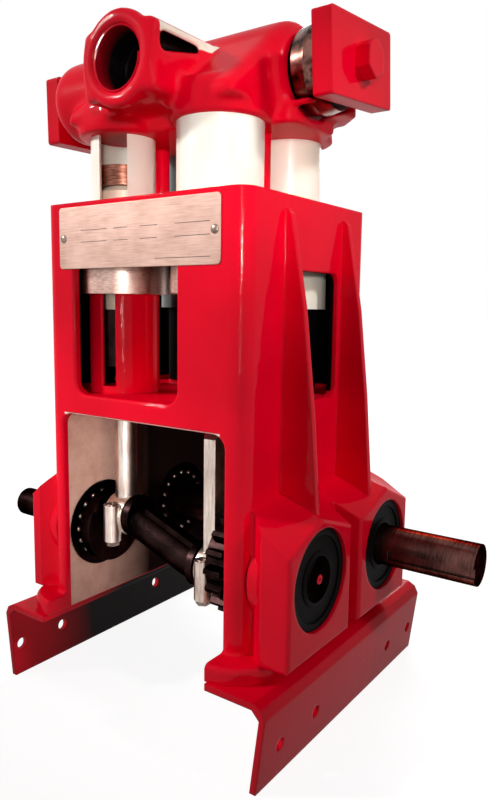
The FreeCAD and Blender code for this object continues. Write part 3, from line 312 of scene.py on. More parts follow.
def enamelled_head_casting(name):
    """The head's enamel, with a painted highlight on the right pad of its neck, painted shadow in both pockets and
    painted shade in the inlet's bore.
    """
    tree, place = start_material(name)
    pad = zone(tree, place, NECK_PAD_HIGHLIGHT, 0.8 * MM)
    pocket = zone(tree, place, NECK_POCKET, 0.6 * MM)
    # painted shade in the inlet's bore, which is red at its mouth and turns black behind it
    mouth = add_node(tree, "ShaderNodeVectorMath", {0: place, 1: (1, 0, 1)}, operation="MULTIPLY")
    away = add_node(tree, "ShaderNodeVectorMath", {0: mouth, 1: (PORT_MOUTH.x, 0, PORT_MOUTH.z)},
                    operation="DISTANCE").outputs["Value"]
    outside = add_node(tree, "ShaderNodeMapRange", {"Value": away, "From Min": 22 * MM, "From Max": 24 * MM})
    axes = add_node(tree, "ShaderNodeSeparateXYZ", {"Vector": place}).outputs
    throat = within(tree, axes["Y"], PORT_MOUTH.y + 3 * MM, PORT_MOUTH.y + 70 * MM, 13 * MM)
    inner = add_node(tree, "ShaderNodeMath", {0: 1.0, 1: outside}, operation="SUBTRACT")
    dark = add_node(tree, "ShaderNodeMath", {0: throat, 1: inner}, operation="MULTIPLY")
    shade = add_node(tree, "ShaderNodeMath", {0: pocket, 1: outside}, operation="MULTIPLY")
    black = add_node(tree, "ShaderNodeMath", {0: shade, 1: dark}, operation="MAXIMUM")
    # painted highlight: pale cream on the neck's right pad
    first = add_node(tree, "ShaderNodeMix", {0: pad, COLOUR_A: enamel_colour(tree, place),
                                             COLOUR_B: linear("#FFF8E6")}, data_type="RGBA")
    colour = add_node(tree, "ShaderNodeMix", {0: black, COLOUR_A: first.outputs[COLOUR_OUT],
                                              COLOUR_B: linear("#0A0606")}, data_type="RGBA")
    enamel_surface(tree, place, colour.outputs[COLOUR_OUT])


def porcelain_enamel(name, colour, shade):
    """Vitreous enamel fired on steel tube: a smooth glassy coat over a barely clouded body."""
    tree, place = start_material(name)
    cloud = add_node(tree, "ShaderNodeTexNoise", {"Vector": place, "Scale": 1 / (45 * MM), "Detail": 3.0})
    base = add_node(tree, "ShaderNodeValToRGB", {"Fac": cloud}, [(0.3, shade), (0.6, colour)])
    ripple = add_node(tree, "ShaderNodeTexNoise", {"Vector": place, "Scale": 1 / (12 * MM), "Detail": 1.0})
    normal = add_node(tree, "ShaderNodeBump", {"Height": ripple, "Distance": 0.1 * MM, "Strength": 0.25})
    surface(tree, {"Base Color": base, "Roughness": 0.3, "Coat Weight": 0.4, "Coat Roughness": 0.08,
                   "Normal": normal})


def white_porcelain_enamel(name):
    """White glass coat of the cylinders and one vessel."""
    porcelain_enamel(name, "#F6F2E4", "#F2E6D0")


def black_porcelain_painted_shade(name):
    """Coat of the other vessel: black, as painted shade for the deep shade it stands in behind the tubes."""
    porcelain_enamel(name, "#0B0A0A", "#050505")


def fired_cream_ceramic(name):
    """Ground ceramic plungers: cream and faintly clouded, under a smooth polish."""
    porcelain_enamel(name, "#FDEFD8", "#F3DCC0")


def tooled_metal(name, colour, shade, roughness, stretch, lump=25 * MM, rim="#FFFFFF"):
    """Metal with the fine lines of its tool or belt: noise drawn out along the axes of small stretch."""
    tree, place = start_material(name)
    drawn = add_node(tree, "ShaderNodeMapping", {"Vector": place, "Scale": stretch})
    # real tool lines are a few tenths of a millimetre apart, and are drawn 0.8 mm apart so that they show
    lines = add_node(tree, "ShaderNodeTexNoise", {"Vector": drawn, "Scale": 1 / (0.8 * MM), "Detail": 2.0})
    cloud = add_node(tree, "ShaderNodeTexNoise", {"Vector": place, "Scale": 1 / lump, "Detail": 3.0})
    tone = add_node(tree, "ShaderNodeMix", {0: 0.55, NUMBER_A: lines, NUMBER_B: cloud})
    base = add_node(tree, "ShaderNodeValToRGB", {"Fac": tone}, [(0.36, shade), (0.62, colour)])
    edge = add_node(tree, "ShaderNodeBevel", {"Radius": 0.6 * MM}, samples=4)
    normal = add_node(tree, "ShaderNodeBump", {"Height": lines, "Distance": 0.04 * MM, "Strength": 0.4,
                                               "Normal": edge})
    surface(tree, {"Base Color": base, "Metallic": 1.0, "Roughness": roughness, "Specular Tint": linear(rim),
                   "Normal": normal})


def bright_turned_steel(name):
    """Rods and wrist pins: clean steel with tool lines along the rods and a warm oil film."""
    tooled_metal(name, "#EADACE", "#A68F83", 0.3, (1.0, 1.0, 0.06))


def rolled_steel_ring(name):
    """Seat rings: rolled steel bands with brown oil and lines round the ring."""
    tooled_metal(name, "#E2C4B6", "#A67A70", 0.34, (0.2, 0.2, 1.6))


def oiled_dark_steel(name):
    """Gears, bearings, crank and crossheads: hardened steel under dark oil, showing only its sheen."""
    tooled_metal(name, "#2C1D1C", "#0A0707", 0.34, (1.0, 1.0, 1.0), 14 * MM, "#4A302C")


def ground_shaft_steel(name):
    """Shafts: ground steel browned by oil, with fine rings from the grinding wheel."""
    tooled_metal(name, "#6C4640", "#261816", 0.26, (1.0, 0.08, 0.08), rim="#6A4A44")


def machined_bronze(name):
    """Piston packing: bronze with tooling rings."""
    tooled_metal(name, "#B07A66", "#5E3328", 0.34, (0.1, 0.1, 1.0))


def brushed_aluminium(name):
    """The rating plate: thin aluminium brushed lengthwise, warm under its lacquer."""
    tooled_metal(name, "#AE9084", "#94766A", 0.5, (0.05, 1.0, 1.0))


def dark_screw_steel(name):
    """Bolts and plate screws: plated steel dulled by handling."""
    tooled_metal(name, "#9A867C", "#5A4A44", 0.35, (1.0, 1.0, 1.0), 6 * MM)


def moulded_black_rubber(name):
    """Seals and the bore cap: matt rubber with a fine grain and hardly a highlight."""
    tree, place = start_material(name)
    # the moulded grain is finer on the real rubber, and is drawn 0.9 mm wide so that it shows
    grain = add_node(tree, "ShaderNodeTexNoise", {"Vector": place, "Scale": 1 / (0.9 * MM), "Detail": 3.0})
    cloud = add_node(tree, "ShaderNodeTexNoise", {"Vector": place, "Scale": 1 / (20 * MM), "Detail": 3.0})
    base = add_node(tree, "ShaderNodeValToRGB", {"Fac": cloud}, [(0.3, "#040303"), (0.7, "#0D0909")])
    normal = add_node(tree, "ShaderNodeBump", {"Height": grain, "Distance": 0.08 * MM, "Strength": 0.4})
    surface(tree, {"Base Color": base, "Roughness": 0.5, "Specular IOR Level": 0.02, "Normal": normal})


def banded_valve_cover(name):
    """Valve cover: a polished steel band between two black packings, which are narrower than the band."""
    tree, place = start_material(name)
    low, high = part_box("valve_cover_right")
    flat = add_node(tree, "ShaderNodeVectorMath", {0: place, 1: (0, 1, 1)}, operation="MULTIPLY")
    axis = (0, (low.y + high.y) / 2, (low.z + high.z) / 2)
    away = add_node(tree, "ShaderNodeVectorMath", {0: flat, 1: axis}, operation="DISTANCE").outputs["Value"]
    band = add_node(tree, "ShaderNodeMapRange", {"Value": away, "From Min": 27.5 * MM, "From Max": 28.2 * MM})
    smear = add_node(tree, "ShaderNodeTexNoise", {"Vector": place, "Scale": 1 / (9 * MM), "Detail": 3.0})
    steel = add_node(tree, "ShaderNodeValToRGB", {"Fac": smear}, [(0.4, "#2A1614"), (0.62, "#8A5E54")])
    colour = add_node(tree, "ShaderNodeMix", {0: band, COLOUR_A: linear("#080606"), COLOUR_B: steel},
                      data_type="RGBA")
    surface(tree, {"Base Color": colour.outputs[COLOUR_OUT], "Metallic": 1.0, "Roughness": 0.22})


def screen_print_ink(name):
    """Printed rules: flat dark ink a little worn through."""
    tree, place = start_material(name)
    wear = add_node(tree, "ShaderNodeTexNoise", {"Vector": place, "Scale": 1 / (2 * MM), "Detail": 3.0})
    base = add_node(tree, "ShaderNodeValToRGB", {"Fac": wear}, [(0.4, "#1C1010"), (0.75, "#4A3430")])
    surface(tree, {"Base Color": base, "Roughness": 0.6})


MATERIALS = (sprayed_red_enamel, rail_enamel_painted_shade, enamelled_frame_casting, enamelled_head_casting,
             white_porcelain_enamel, black_porcelain_painted_shade, fired_cream_ceramic, bright_turned_steel,
             rolled_steel_ring, oiled_dark_steel, ground_shaft_steel, machined_bronze, brushed_aluminium,
             dark_screw_steel, moulded_black_rubber, banded_valve_cover, screen_print_ink)

# the nodes of the frame that each finish goes on
FINISHES = {
    "enamelled_frame_casting": ("frame_casting",),
    "enamelled_head_casting": ("head_casting",),
    "rail_enamel_painted_shade": ("rail_left",),
    "sprayed_red_enamel": ("rail_right", "clamp_plate_left", "clamp_plate_right", "clamp_screw_left",
                           "clamp_screw_right", "tie_stud_left", "tie_stud_right"),
    "white_porcelain_enamel": ("cylinder_front_left", "cylinder_front_right", "vessel_rear_right",
                               "vessel_foot_right"),
    "black_porcelain_painted_shade": ("vessel_rear_left", "vessel_foot_left"),
    "rolled_steel_ring": ("seat_ring_left", "seat_ring_right"),
    "bright_turned_steel": ("connecting_rod_left", "connecting_rod_right", "wrist_pin_left",
                            "wrist_pin_right"),
    "fired_cream_ceramic": ("plunger_left", "plunger_right"),
    "machined_bronze": ("piston_cup_left", "piston_cup_right"),
    "banded_valve_cover": ("valve_cover_left", "valve_cover_right"),
    "oiled_dark_steel": ("bearing_front_left", "bearing_front_right", "bearing_rear_left",
                         "bearing_rear_right", "crank_gear", "drive_gear", "crankshaft", "crosshead_left",
                         "crosshead_right"),
    "ground_shaft_steel": ("drive_shaft",),
    "moulded_black_rubber": ("shaft_seal_front_right", "shaft_seal_rear_right", "shaft_seal_front_left",
                             "bore_cap_rear_left"),
}


# modelling helpers
def select_only(*things):
    """Select these objects alone and make the first the active one."""
    bpy.ops.object.select_all(action="DESELECT")
    for thing in things:
        thing.select_set(True)
    bpy.context.view_layer.objects.active = things[0]


def settle(thing):
    """Put the place of an object into its mesh, so that the object sits at the origin."""
    select_only(thing)
    bpy.ops.object.transform_apply(location=True, rotation=True, scale=True)
    return thing


def apply_modifiers(thing):
    """Turn an object's modifiers into mesh, in order."""
    select_only(thing)
    for modifier in list(thing.modifiers):
        bpy.ops.object.modifier_apply(modifier=modifier.name)


def dress(thing, name, finish, body):
    """Name, colour and mount a finished piece."""
    thing.name = name
    thing.data.materials.clear()
    thing.data.materials.append(bpy.data.materials[finish])
    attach(thing, body)


def bevel_edges(thing, width, segments, wanted):
    """Round the edges whose two ends pass a test, in edit mode."""
    select_only(thing)
    bpy.ops.object.mode_set(mode="EDIT")
    bpy.ops.mesh.select_mode(type="EDGE")
    bpy.ops.mesh.select_all(action="DESELECT")
    mesh = bmesh.from_edit_mesh(thing.data)
    for edge in mesh.edges:
        if wanted(edge.verts[0].co, edge.verts[1].co):
            edge.select = True
    bmesh.update_edit_mesh(thing.data)
    bpy.ops.mesh.bevel(offset=width, segments=segments, affect="EDGES")
    bpy.ops.object.mode_set(mode="OBJECT")


def join(things):
    """Join objects into the first of them."""
    select_only(*things)
    bpy.ops.object.join()
    return things[0]


def copy_to(thing, move):
    """A copy with its own mesh, moved and settled."""
    twin = thing.copy()
    twin.data = thing.data.copy()
    bpy.context.collection.objects.link(twin)
    twin.location = twin.location + Vector(move)
    return settle(twin)


def faces_out(thing):
    """Weld the points that meet and turn every face outward."""
    select_only(thing)
    bpy.ops.object.mode_set(mode="EDIT")
    bpy.ops.mesh.select_all(action="SELECT")
    bpy.ops.mesh.remove_doubles(threshold=0.01 * MM)
    bpy.ops.mesh.normals_make_consistent(inside=False)
    bpy.ops.object.mode_set(mode="OBJECT")
    return thing


def cut_off(thing, point, direction):
    """Cut away what lies beyond a plane and close the cut."""
    select_only(thing)
    bpy.ops.object.mode_set(mode="EDIT")
    bpy.ops.mesh.select_all(action="SELECT")
    bpy.ops.mesh.bisect(plane_co=point, plane_no=direction, use_fill=True, clear_outer=True)
    bpy.ops.object.mode_set(mode="OBJECT")
    return thing


def smooth_by_angle(thing, degrees):
    """Shade smooth but for edges sharper than an angle."""
    select_only(thing)
    bpy.ops.object.shade_smooth_by_angle(angle=math.radians(degrees))
    return thing


def stand_at(thing, place, turn):
    """Turn a piece made at the origin, move it to its place and settle it."""
    thing.rotation_euler = turn
    thing.location = place
    settle(thing)


def turned_ring(section, steps=64, rise=0.0, turns=1):
    """A closed section of (radius, height) points in metres swept round Z, climbing by rise each turn."""
    bpy.ops.mesh.primitive_circle_add(vertices=len(section), radius=0.01, location=(0, 0, 0))
    ring = bpy.context.object
    for vertex, (radius, height) in zip(ring.data.vertices, section):
        vertex.co = (radius, 0, height)
    sweep = ring.modifiers.new("sweep", "SCREW")
    sweep.axis = "Z"
    sweep.angle = math.tau
    sweep.screw_offset = rise
    sweep.iterations = turns
    sweep.steps = steps
    sweep.render_steps = steps
    sweep.use_merge_vertices = True
    apply_modifiers(ring)
    return faces_out(ring)


def stud_end(radius, height, socket, place):
    """A short round stud with a rounded rim and a socket of that radius sunk in its top."""
    rim = height * 0.25
    socket_depth = height * 0.6
    bpy.ops.mesh.primitive_cylinder_add(vertices=32, radius=radius, depth=height, location=place)
    stud = settle(bpy.context.object)
    near_top = max(vertex.co.z for vertex in stud.data.vertices) - height * 0.1
    bevel_edges(stud, rim, 3, lambda a, b: min(a.z, b.z) > near_top)
    bpy.ops.object.mode_set(mode="EDIT")
    bpy.ops.mesh.select_mode(type="FACE")
    bpy.ops.mesh.select_all(action="DESELECT")
    mesh = bmesh.from_edit_mesh(stud.data)
    for face in mesh.faces:
        face.select = face.normal.z > 0.99 and face.calc_center_median().z > near_top
    bmesh.update_edit_mesh(stud.data)
    bpy.ops.mesh.inset(thickness=radius - rim - socket)
    bpy.ops.mesh.extrude_region_move(TRANSFORM_OT_translate={"value": (0, 0, -socket_depth)})
    bpy.ops.object.mode_set(mode="OBJECT")
    return stud


class PUMP_OT_finish_frame(bpy.types.Operator):
    """Give every node of the frame its finish"""
    bl_idname = "pump.finish_frame"
    bl_label = "Finish the frame"

    def execute(self, context):
        for make in MATERIALS:
            make(make.__name__)
        for finish, names in FINISHES.items():
            for name in names:
                slots = NODES[name].data.materials
                slots.clear()
                slots.append(bpy.data.materials[finish])
        return {"FINISHED"}


class PUMP_OT_smooth_head(bpy.types.Operator):
    """Blend the head's plain solids into one cast skin with a clean inlet bore"""
    bl_idname = "pump.smooth_head"
    bl_label = "Cast skin of the head"

    def execute(self, context):
        head = context.scene.pump_head
        skin = NODES["head_casting"].copy()
        skin.data = skin.data.copy()
        skin.parent = None
        context.collection.objects.link(skin)
        faces_out(skin)
        blocks = [skin]
        # wedges that leave only a narrow dark slot of each pocket in the neck's sides
        wedge_size = (11.4 * MM, 62 * MM, 24 * MM)
        wedge_tilt = math.radians(12.7)
        for side in (-1, 1):
            middle = (WALL_MIDDLE + side * 28 * MM, FRONT_FACE + 22 * MM, 467.5 * MM)
            bpy.ops.mesh.primitive_cube_add(size=1, location=middle, rotation=(wedge_tilt, 0, 0))
            wedge = context.object
            wedge.scale = wedge_size
            blocks.append(settle(wedge))
        join(blocks)
        remesh = skin.modifiers.new("skin", "REMESH")
        remesh.mode = "VOXEL"
        remesh.voxel_size = head.grain
        smooth = skin.modifiers.new("blend", "SMOOTH")
        smooth.factor = 0.5
        smooth.iterations = head.passes
        apply_modifiers(skin)
        # the blending softens the inlet's bore, so it is bored again
        bore_depth = 32 * MM
        bpy.ops.mesh.primitive_cylinder_add(vertices=96, radius=context.scene.pump_thread.radius,
                                            depth=2 * bore_depth, location=PORT_MOUTH,
                                            rotation=(math.pi / 2, 0, 0))
        tool = settle(context.object)
        bore = skin.modifiers.new("bore", "BOOLEAN")
        bore.operation = "DIFFERENCE"
        bore.object = tool
        apply_modifiers(skin)
        bpy.data.objects.remove(tool, do_unlink=True)
        smooth_by_angle(skin, 50)
        dress(skin, "head_skin", "enamelled_head_casting", "frame")
        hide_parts("head_casting")
        return {"FINISHED"}


class PUMP_OT_add_plate(bpy.types.Operator):
    """Add the bare rating plate with its ruled lines and drive screws"""
    bl_idname = "pump.add_plate"
    bl_label = "Add the rating plate"

    def execute(self, context):
        plate = context.scene.pump_plate
        left_of_middle = 0.4 * MM
        edge_break = 0.25 * MM
        centre = Vector((WALL_MIDDLE - left_of_middle, FRONT_FACE - plate.thick / 2,
                         plate.low + plate.height / 2))
        bpy.ops.mesh.primitive_cube_add(size=1, location=centre)
        sheet = context.object
        sheet.scale = (plate.width, plate.thick, plate.height)
        settle(sheet)
        bevel_edges(sheet, plate.corner, 5, lambda a, b: abs(a.y - b.y) > plate.thick / 2)
        bevel_edges(sheet, edge_break, 2, lambda a, b: a.y < centre.y and b.y < centre.y)
        dress(sheet, "rating_plate", "brushed_aluminium", "frame")

        front = FRONT_FACE - plate.thick
        left = centre.x - plate.width / 2
        top = plate.low + plate.height
        # the plate's ruled lines: two rows of four and one long line, each as (from the left edge, below the
        # top edge, length), in millimetres
        ruled = [(across, down, length) for down in (17.5, 26)
                 for across, length in ((24, 27), (58, 14), (84, 16), (116, 30))] + [(98, 40, 48)]
        ink_width, ink_depth, ink_middle = 0.4 * MM, 0.08 * MM, 0.03 * MM
        rules = []
        for across, down, length in ruled:
            middle = (left + (across + length / 2) * MM, front - ink_middle, top - down * MM)
            bpy.ops.mesh.primitive_cube_add(size=1, location=middle)
            rule = context.object
            rule.scale = (length * MM, ink_depth, ink_width)
            rules.append(settle(rule))
        dress(join(rules), "plate_rules", "screen_print_ink", "frame")

        # round heads, flattened, at the middles of the plate's two ends
        head_radius, head_flatness = 3.1 * MM, 0.42
        from_end, from_low = 4.8 * MM, 22.5 * MM
        screws = []
        for side in (-1, 1):
            bpy.ops.mesh.primitive_uv_sphere_add(segments=24, ring_count=12, radius=head_radius)
            screw = context.object
            screw.scale = (1, head_flatness, 1)
            screw.location = (centre.x + side * (plate.width / 2 - from_end), front, plate.low + from_low)
            screws.append(cut_off(settle(screw), (0, front, 0), (0, 1, 0)))
        heads = smooth_by_angle(join(screws), 40)
        dress(heads, "plate_screws", "dark_screw_steel", "frame")
        return {"FINISHED"}


class PUMP_OT_add_thread(bpy.types.Operator):
    """Add the pipe thread, a helical crest in the inlet's mouth"""
    bl_idname = "pump.add_thread"
    bl_label = "Add the inlet thread"

    def execute(self, context):
        thread = context.scene.pump_thread
        # the crest's foot lies inside the bore's wall
        root = thread.radius + 0.3 * MM
        half = thread.pitch * 0.47
        lead_in = Vector((0, 1.6 * MM, 0))
        crest = turned_ring([(root, half), (root, -half), (thread.radius - thread.depth, 0.0)],
                            72, thread.pitch, thread.turns)
        stand_at(crest, PORT_MOUTH + lead_in, (-math.pi / 2, 0, 0))
        dress(crest, "inlet_thread", "enamelled_head_casting", "frame")
        return {"FINISHED"}


class PUMP_OT_add_balls(bpy.types.Operator):
    """Add the balls that show in the inner faces of the bearings"""
    bl_idname = "pump.add_balls"
    bl_label = "Add the bearing balls"

    def execute(self, context):
        bearing = context.scene.pump_bearing
        # how far the balls' middles lie behind the bearing's inner face
        sunk = 0.9 * MM
        for node, axis in (("bearing_front_left", CRANK_AXIS), ("bearing_front_right", CRANK_AXIS),
                           ("bearing_rear_left", DRIVE_AXIS), ("bearing_rear_right", DRIVE_AXIS)):
            low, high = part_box(node)
            inward = 1 if low.x < WALL_MIDDLE else -1
            face = high.x if inward > 0 else low.x
            bpy.ops.mesh.primitive_uv_sphere_add(segments=16, ring_count=8, radius=bearing.radius)
            ball = context.object
            bpy.ops.object.shade_smooth()
            balls = []
            for count in range(bearing.balls):
                turn = math.tau * count / bearing.balls
                balls.append(copy_to(ball, (face - inward * sunk,
                                            axis.y + bearing.circle * math.cos(turn),
                                            axis.z + bearing.circle * math.sin(turn))))
            bpy.data.objects.remove(ball, do_unlink=True)
            dress(join(balls), node.replace("bearing", "balls"), "dark_screw_steel", "frame")
        return {"FINISHED"}


class PUMP_OT_add_lips(bpy.types.Operator):
    """Add the lips and the rubber-covered case rims of the shaft seals"""
    bl_idname = "pump.add_lips"
    bl_label = "Add the seal lips"

    def execute(self, context):
        # sections in millimetres: the lip's from the seal's bore outward, the rim's from the shaft's axis,
        # both as (radius, height over the seal's face)
        lip_section = ((0.2, -0.5), (0.2, 1.4), (1.4, 1.6), (3.6, 0.6), (4.0, -0.5))
        rim_section = ((30.5, -0.5), (30.5, 1.0), (31.5, 1.5), (35.4, 1.5), (35.8, 1.0), (35.8, -0.5))
        for node, axis, bore in (("shaft_seal_front_right", CRANK_AXIS, 15.9),
                                 ("shaft_seal_rear_right", DRIVE_AXIS, 16.8),
                                 ("shaft_seal_front_left", CRANK_AXIS, 13.3)):
            low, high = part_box(node)
            out = 1 if low.x > WALL_MIDDLE else -1
            face = high.x if out > 0 else low.x
            for word, section, start in (("lip", lip_section, bore), ("rim", rim_section, 0)):
                ring = turned_ring([((start + radius) * MM, height * MM) for radius, height in section])
                stand_at(ring, (face, axis.y, axis.z), (0, out * math.pi / 2, 0))
                smooth_by_angle(ring, 35)
                dress(ring, node.replace("shaft_seal", "seal_" + word), "moulded_black_rubber", "frame")
        # the lathe centre in the crank's end, with a drop of red enamel in it
        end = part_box("crankshaft")[1].x
        sunk = 0.2 * MM
        mark = stud_end(radius=3.4 * MM, height=1.6 * MM, socket=1.0 * MM, place=(0, 0, 0))
        stand_at(mark, (end - sunk, CRANK_AXIS.y, CRANK_AXIS.z), (0, math.pi / 2, 0))
        dress(mark, "crank_centre_mark", "sprayed_red_enamel", "crank")
        return {"FINISHED"}


class PUMP_OT_add_cap_bolts(bpy.types.Operator):
    """Add the cap bolts of the two connecting rods: a hexagon below and a socket end above each boss"""
    bl_idname = "pump.add_cap_bolts"
    bl_label = "Add the cap bolts"

    def execute(self, context):
        bolt = context.scene.pump_bolt
        # the boss's underside and the middle of the stud's end, below and above the crank pin's axis
        underside = 19 * MM
        end_middle = 10.5 * MM
        head_rounding = 0.8 * MM
        for side in ("left", "right"):
            pin = JOINTS["rod_%s_swing" % side]
            pieces = []
            for offset in (-bolt.offset, bolt.offset):
                seat = (pin.x, pin.y + offset, pin.z - underside - bolt.head / 2)
                bpy.ops.mesh.primitive_cylinder_add(vertices=6, radius=bolt.across / math.sqrt(3),
                                                    depth=bolt.head, location=seat)
                head = settle(context.object)
                near_low = min(vertex.co.z for vertex in head.data.vertices) + 0.1 * MM
                bevel_edges(head, head_rounding, 2, lambda a, b: max(a.z, b.z) < near_low)
                end = stud_end(radius=5 * MM, height=3 * MM, socket=2.6 * MM,
                               place=(pin.x, pin.y + offset, pin.z + end_middle))
                pieces += [head, end]
            bolts = smooth_by_angle(join(pieces), 35)
            dress(bolts, "cap_bolts_" + side, "dark_screw_steel", "rod_" + side)
        return {"FINISHED"}


class PUMP_OT_add_swells(bpy.types.Operator):
    """Add the cast swells that close the grooves beside the bosses round the four bearing seats"""
    bl_idname = "pump.add_swells"
    bl_label = "Add the seat swells"

    def execute(self, context):
        # a band round the seat's bore with its two outer corners broken, as (radius, height)
        inner, outer, broken = 36.1 * MM, 37.3 * MM, 36.9 * MM
        half, flat = 4.6 * MM, 4.2 * MM
        section = [(inner, -half), (broken, -half), (outer, -flat),
                   (outer, flat), (broken, half), (inner, half)]
        from_middle = 100.7 * MM
        kept_beyond = 29 * MM
        for row, axis, outward in (("front", CRANK_AXIS, -1), ("rear", DRIVE_AXIS, 1)):
            for side, turn in (("left", -1), ("right", 1)):
                arch = turned_ring(section, 96)
                stand_at(arch, (WALL_MIDDLE + turn * from_middle, axis.y, axis.z), (0, math.pi / 2, 0))
                cut_off(arch, (0, axis.y + outward * kept_beyond, 0), (0, -outward, 0))
                smooth_by_angle(arch, 35)
                dress(arch, "seat_swell_%s_%s" % (row, side), "sprayed_red_enamel", "frame")
        return {"FINISHED"}


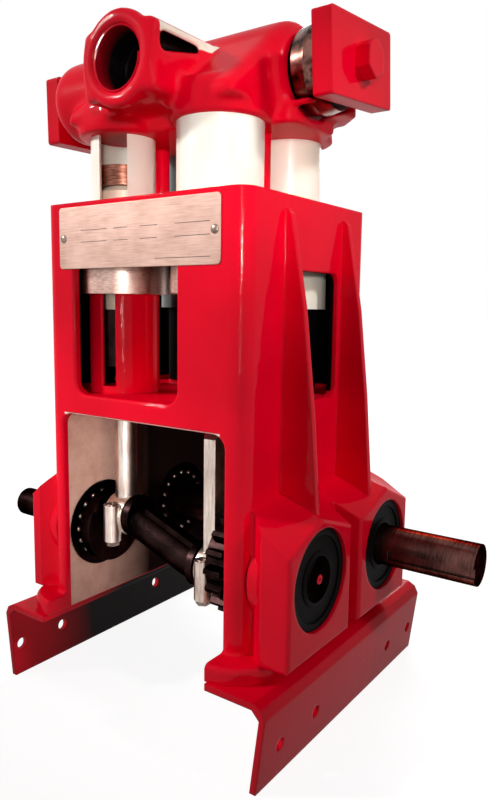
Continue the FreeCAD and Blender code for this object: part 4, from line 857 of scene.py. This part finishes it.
class PUMP_OT_add_stage(bpy.types.Operator):
    """Add the floor, the lamps and the camera"""
    bl_idname = "pump.add_stage"
    bl_label = "Add the studio"

    def execute(self, context):
        scene = context.scene
        scene.view_settings.view_transform = "Standard"
        self.add_floor(context)
        self.add_world(scene)
        # soft boxes: place and aim in metres, width and height in metres, watts and tint
        for name, place, aim, size, power, tint in (
                ("back", (-0.5, 1.5, 1.1), (0, 0, 0.25), (0.8, 0.8), 20.0, (1, 1, 1)),
                ("strip", (0.72, -1.05, 0.45), (0, 0, 0.3), (0.05, 0.6), 2.2, (1, 0.96, 0.92))):
            lamp = self.add_lamp(context, "AREA", name, place, aim, power)
            lamp.shape = "RECTANGLE"
            lamp.size, lamp.size_y = size
            lamp.color = tint
        # spots: place and aim in metres, radius in metres, watts, cone in degrees and softness of its edge
        for name, place, aim, radius, power, cone, soft in (
                ("key", (-1.2, -1.15, 1.15), (-0.05, -0.1, 0.31), 0.1, 135.0, 19, 1.0),
                ("side", (1.6, 0.0, 1.3), (0.05, 0.0, 0.33), 0.12, 79.0, 20, 1.0),
                ("tubes", (0.8, -0.95, 0.44), (0.0, 0.0, 0.405), 0.06, 40.0, 11, 0.6),
                ("mouth", (0.45, -0.85, 0.25), (-0.09, -0.05, 0.16), 0.08, 24.0, 15, 0.7)):
            lamp = self.add_lamp(context, "SPOT", name, place, aim, power)
            lamp.shadow_soft_size = radius
            lamp.spot_size = math.radians(cone)
            lamp.spot_blend = soft
        self.add_camera(scene)
        return {"FINISHED"}

    def add_lamp(self, context, kind, name, place, aim, power):
        """Add a lamp that points at its aim, and give back its settings."""
        bpy.ops.object.light_add(type=kind, location=place)
        lamp = context.object
        lamp.name = name
        lamp.rotation_euler = (Vector(aim) - lamp.location).to_track_quat("-Z", "Y").to_euler()
        lamp.data.energy = power
        return lamp.data

    def seen_directly(self, tree):
        """1 for rays from the camera and for those that metal or glass sends on."""
        rays = add_node(tree, "ShaderNodeLightPath").outputs
        mirrored = add_node(tree, "ShaderNodeMath", {0: rays["Is Glossy Ray"],
                                                     1: rays["Is Transmission Ray"]}, operation="MAXIMUM")
        return add_node(tree, "ShaderNodeMath", {0: rays["Is Camera Ray"], 1: mirrored}, operation="MAXIMUM")

    def add_floor(self, context):
        """A white paper floor that glows, so that it meets the white world with no edge."""
        bpy.ops.mesh.primitive_plane_add(size=30, location=(0, 0, 0))
        floor = context.object
        floor.name = "studio_floor"
        tree, place = start_material("white_paper_floor")
        paper = add_node(tree, "ShaderNodeBsdfDiffuse", {"Color": linear("#8C8C8C")})
        away = add_node(tree, "ShaderNodeVectorMath", {0: place}, operation="LENGTH").outputs["Value"]
        glow = add_node(tree, "ShaderNodeMapRange", {"Value": away, "From Min": 0.35, "From Max": 1.3,
                                                     "To Min": 0.9, "To Max": 1.0})
        strength = add_node(tree, "ShaderNodeMath", {0: glow, 1: self.seen_directly(tree)},
                            operation="MULTIPLY")
        shine = add_node(tree, "ShaderNodeEmission", {"Strength": strength})
        both = add_node(tree, "ShaderNodeAddShader", {0: paper, 1: shine})
        add_node(tree, "ShaderNodeOutputMaterial", {"Surface": both})
        floor.data.materials.append(bpy.data.materials["white_paper_floor"])

    def add_world(self, scene):
        """A dim warm room for the light it gives, seen as plain white."""
        world = bpy.data.worlds.new("studio")
        scene.world = world
        world.use_nodes = True
        tree = world.node_tree
        tree.nodes.clear()
        room = add_node(tree, "ShaderNodeBackground", {"Color": (1.0, 0.93, 0.9, 1), "Strength": 0.11})
        white = add_node(tree, "ShaderNodeBackground", {"Color": (1, 1, 1, 1), "Strength": 1.0})
        seen = add_node(tree, "ShaderNodeMixShader", {0: self.seen_directly(tree), 1: room, 2: white})
        add_node(tree, "ShaderNodeOutputWorld", {"Surface": seen})

    def add_camera(self, scene):
        """The photograph's camera: place, turn and lens worked out from the object's known points."""
        spot = Vector((338.35, -465.29, 310.18)) * MM
        yaw, pitch, roll = math.radians(35.92), math.radians(7.37), math.radians(0.66)
        # in pixels of the photograph: the focal length, the point straight ahead and the picture's size
        focal = 698.23
        centre = (236.21, 395.87)
        picture = (488, 800)
        ahead = Vector((-math.sin(yaw) * math.cos(pitch), math.cos(yaw) * math.cos(pitch), -math.sin(pitch)))
        level = Vector((math.cos(yaw), math.sin(yaw), 0))
        upright = level.cross(ahead)
        right = level * math.cos(roll) + upright * math.sin(roll)
        up = upright * math.cos(roll) - level * math.sin(roll)
        bpy.ops.object.camera_add()
        camera = bpy.context.object
        camera.name = "photo_camera"
        turn = Matrix((right, up, -ahead)).transposed().to_4x4()
        camera.matrix_world = Matrix.Translation(spot) @ turn
        camera.data.sensor_fit = "VERTICAL"
        camera.data.sensor_height = 24.0
        camera.data.lens = focal * camera.data.sensor_height / picture[1]
        camera.data.shift_x = (picture[0] / 2 - centre[0]) / picture[1]
        camera.data.shift_y = (centre[1] - picture[1] / 2) / picture[1]
        camera.data.clip_start = 0.01
        camera.data.clip_end = 100
        scene.camera = camera


class PUMP_PT_panel(bpy.types.Panel):
    """The pump's finish in the sidebar"""
    bl_idname = "PUMP_PT_panel"
    bl_label = "Pump"
    bl_space_type = "VIEW_3D"
    bl_region_type = "UI"
    bl_category = "Pump"

    def draw(self, context):
        for operator in STEPS:
            self.layout.operator(operator.bl_idname)
        for group in GROUPS:
            settings = getattr(context.scene, group)
            for name in settings.__annotations__:
                self.layout.prop(settings, name)


STEPS = (PUMP_OT_finish_frame, PUMP_OT_smooth_head, PUMP_OT_add_plate, PUMP_OT_add_thread, PUMP_OT_add_balls,
         PUMP_OT_add_lips, PUMP_OT_add_cap_bolts, PUMP_OT_add_swells, PUMP_OT_add_stage)
GROUPS = {"pump_paint": PaintSettings, "pump_head": HeadSettings, "pump_plate": PlateSettings,
          "pump_thread": ThreadSettings, "pump_bearing": BearingSettings, "pump_bolt": BoltSettings}


def register():
    """Add the settings, the operators and the panel."""
    for name, group in GROUPS.items():
        bpy.utils.register_class(group)
        setattr(bpy.types.Scene, name, PointerProperty(type=group))
    for step in STEPS:
        bpy.utils.register_class(step)
    bpy.utils.register_class(PUMP_PT_panel)


def unregister():
    """Take away what register added."""
    bpy.utils.unregister_class(PUMP_PT_panel)
    for step in reversed(STEPS):
        bpy.utils.unregister_class(step)
    for name, group in GROUPS.items():
        delattr(bpy.types.Scene, name)
        bpy.utils.unregister_class(group)


def main():
    """Dress the frame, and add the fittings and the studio."""
    register()
    bpy.ops.pump.finish_frame()
    bpy.ops.pump.smooth_head()
    bpy.ops.pump.add_plate()
    bpy.ops.pump.add_thread()
    bpy.ops.pump.add_balls()
    bpy.ops.pump.add_lips()
    bpy.ops.pump.add_cap_bolts()
    bpy.ops.pump.add_swells()
    bpy.ops.pump.add_stage()


if __name__ == "__main__":
    main()
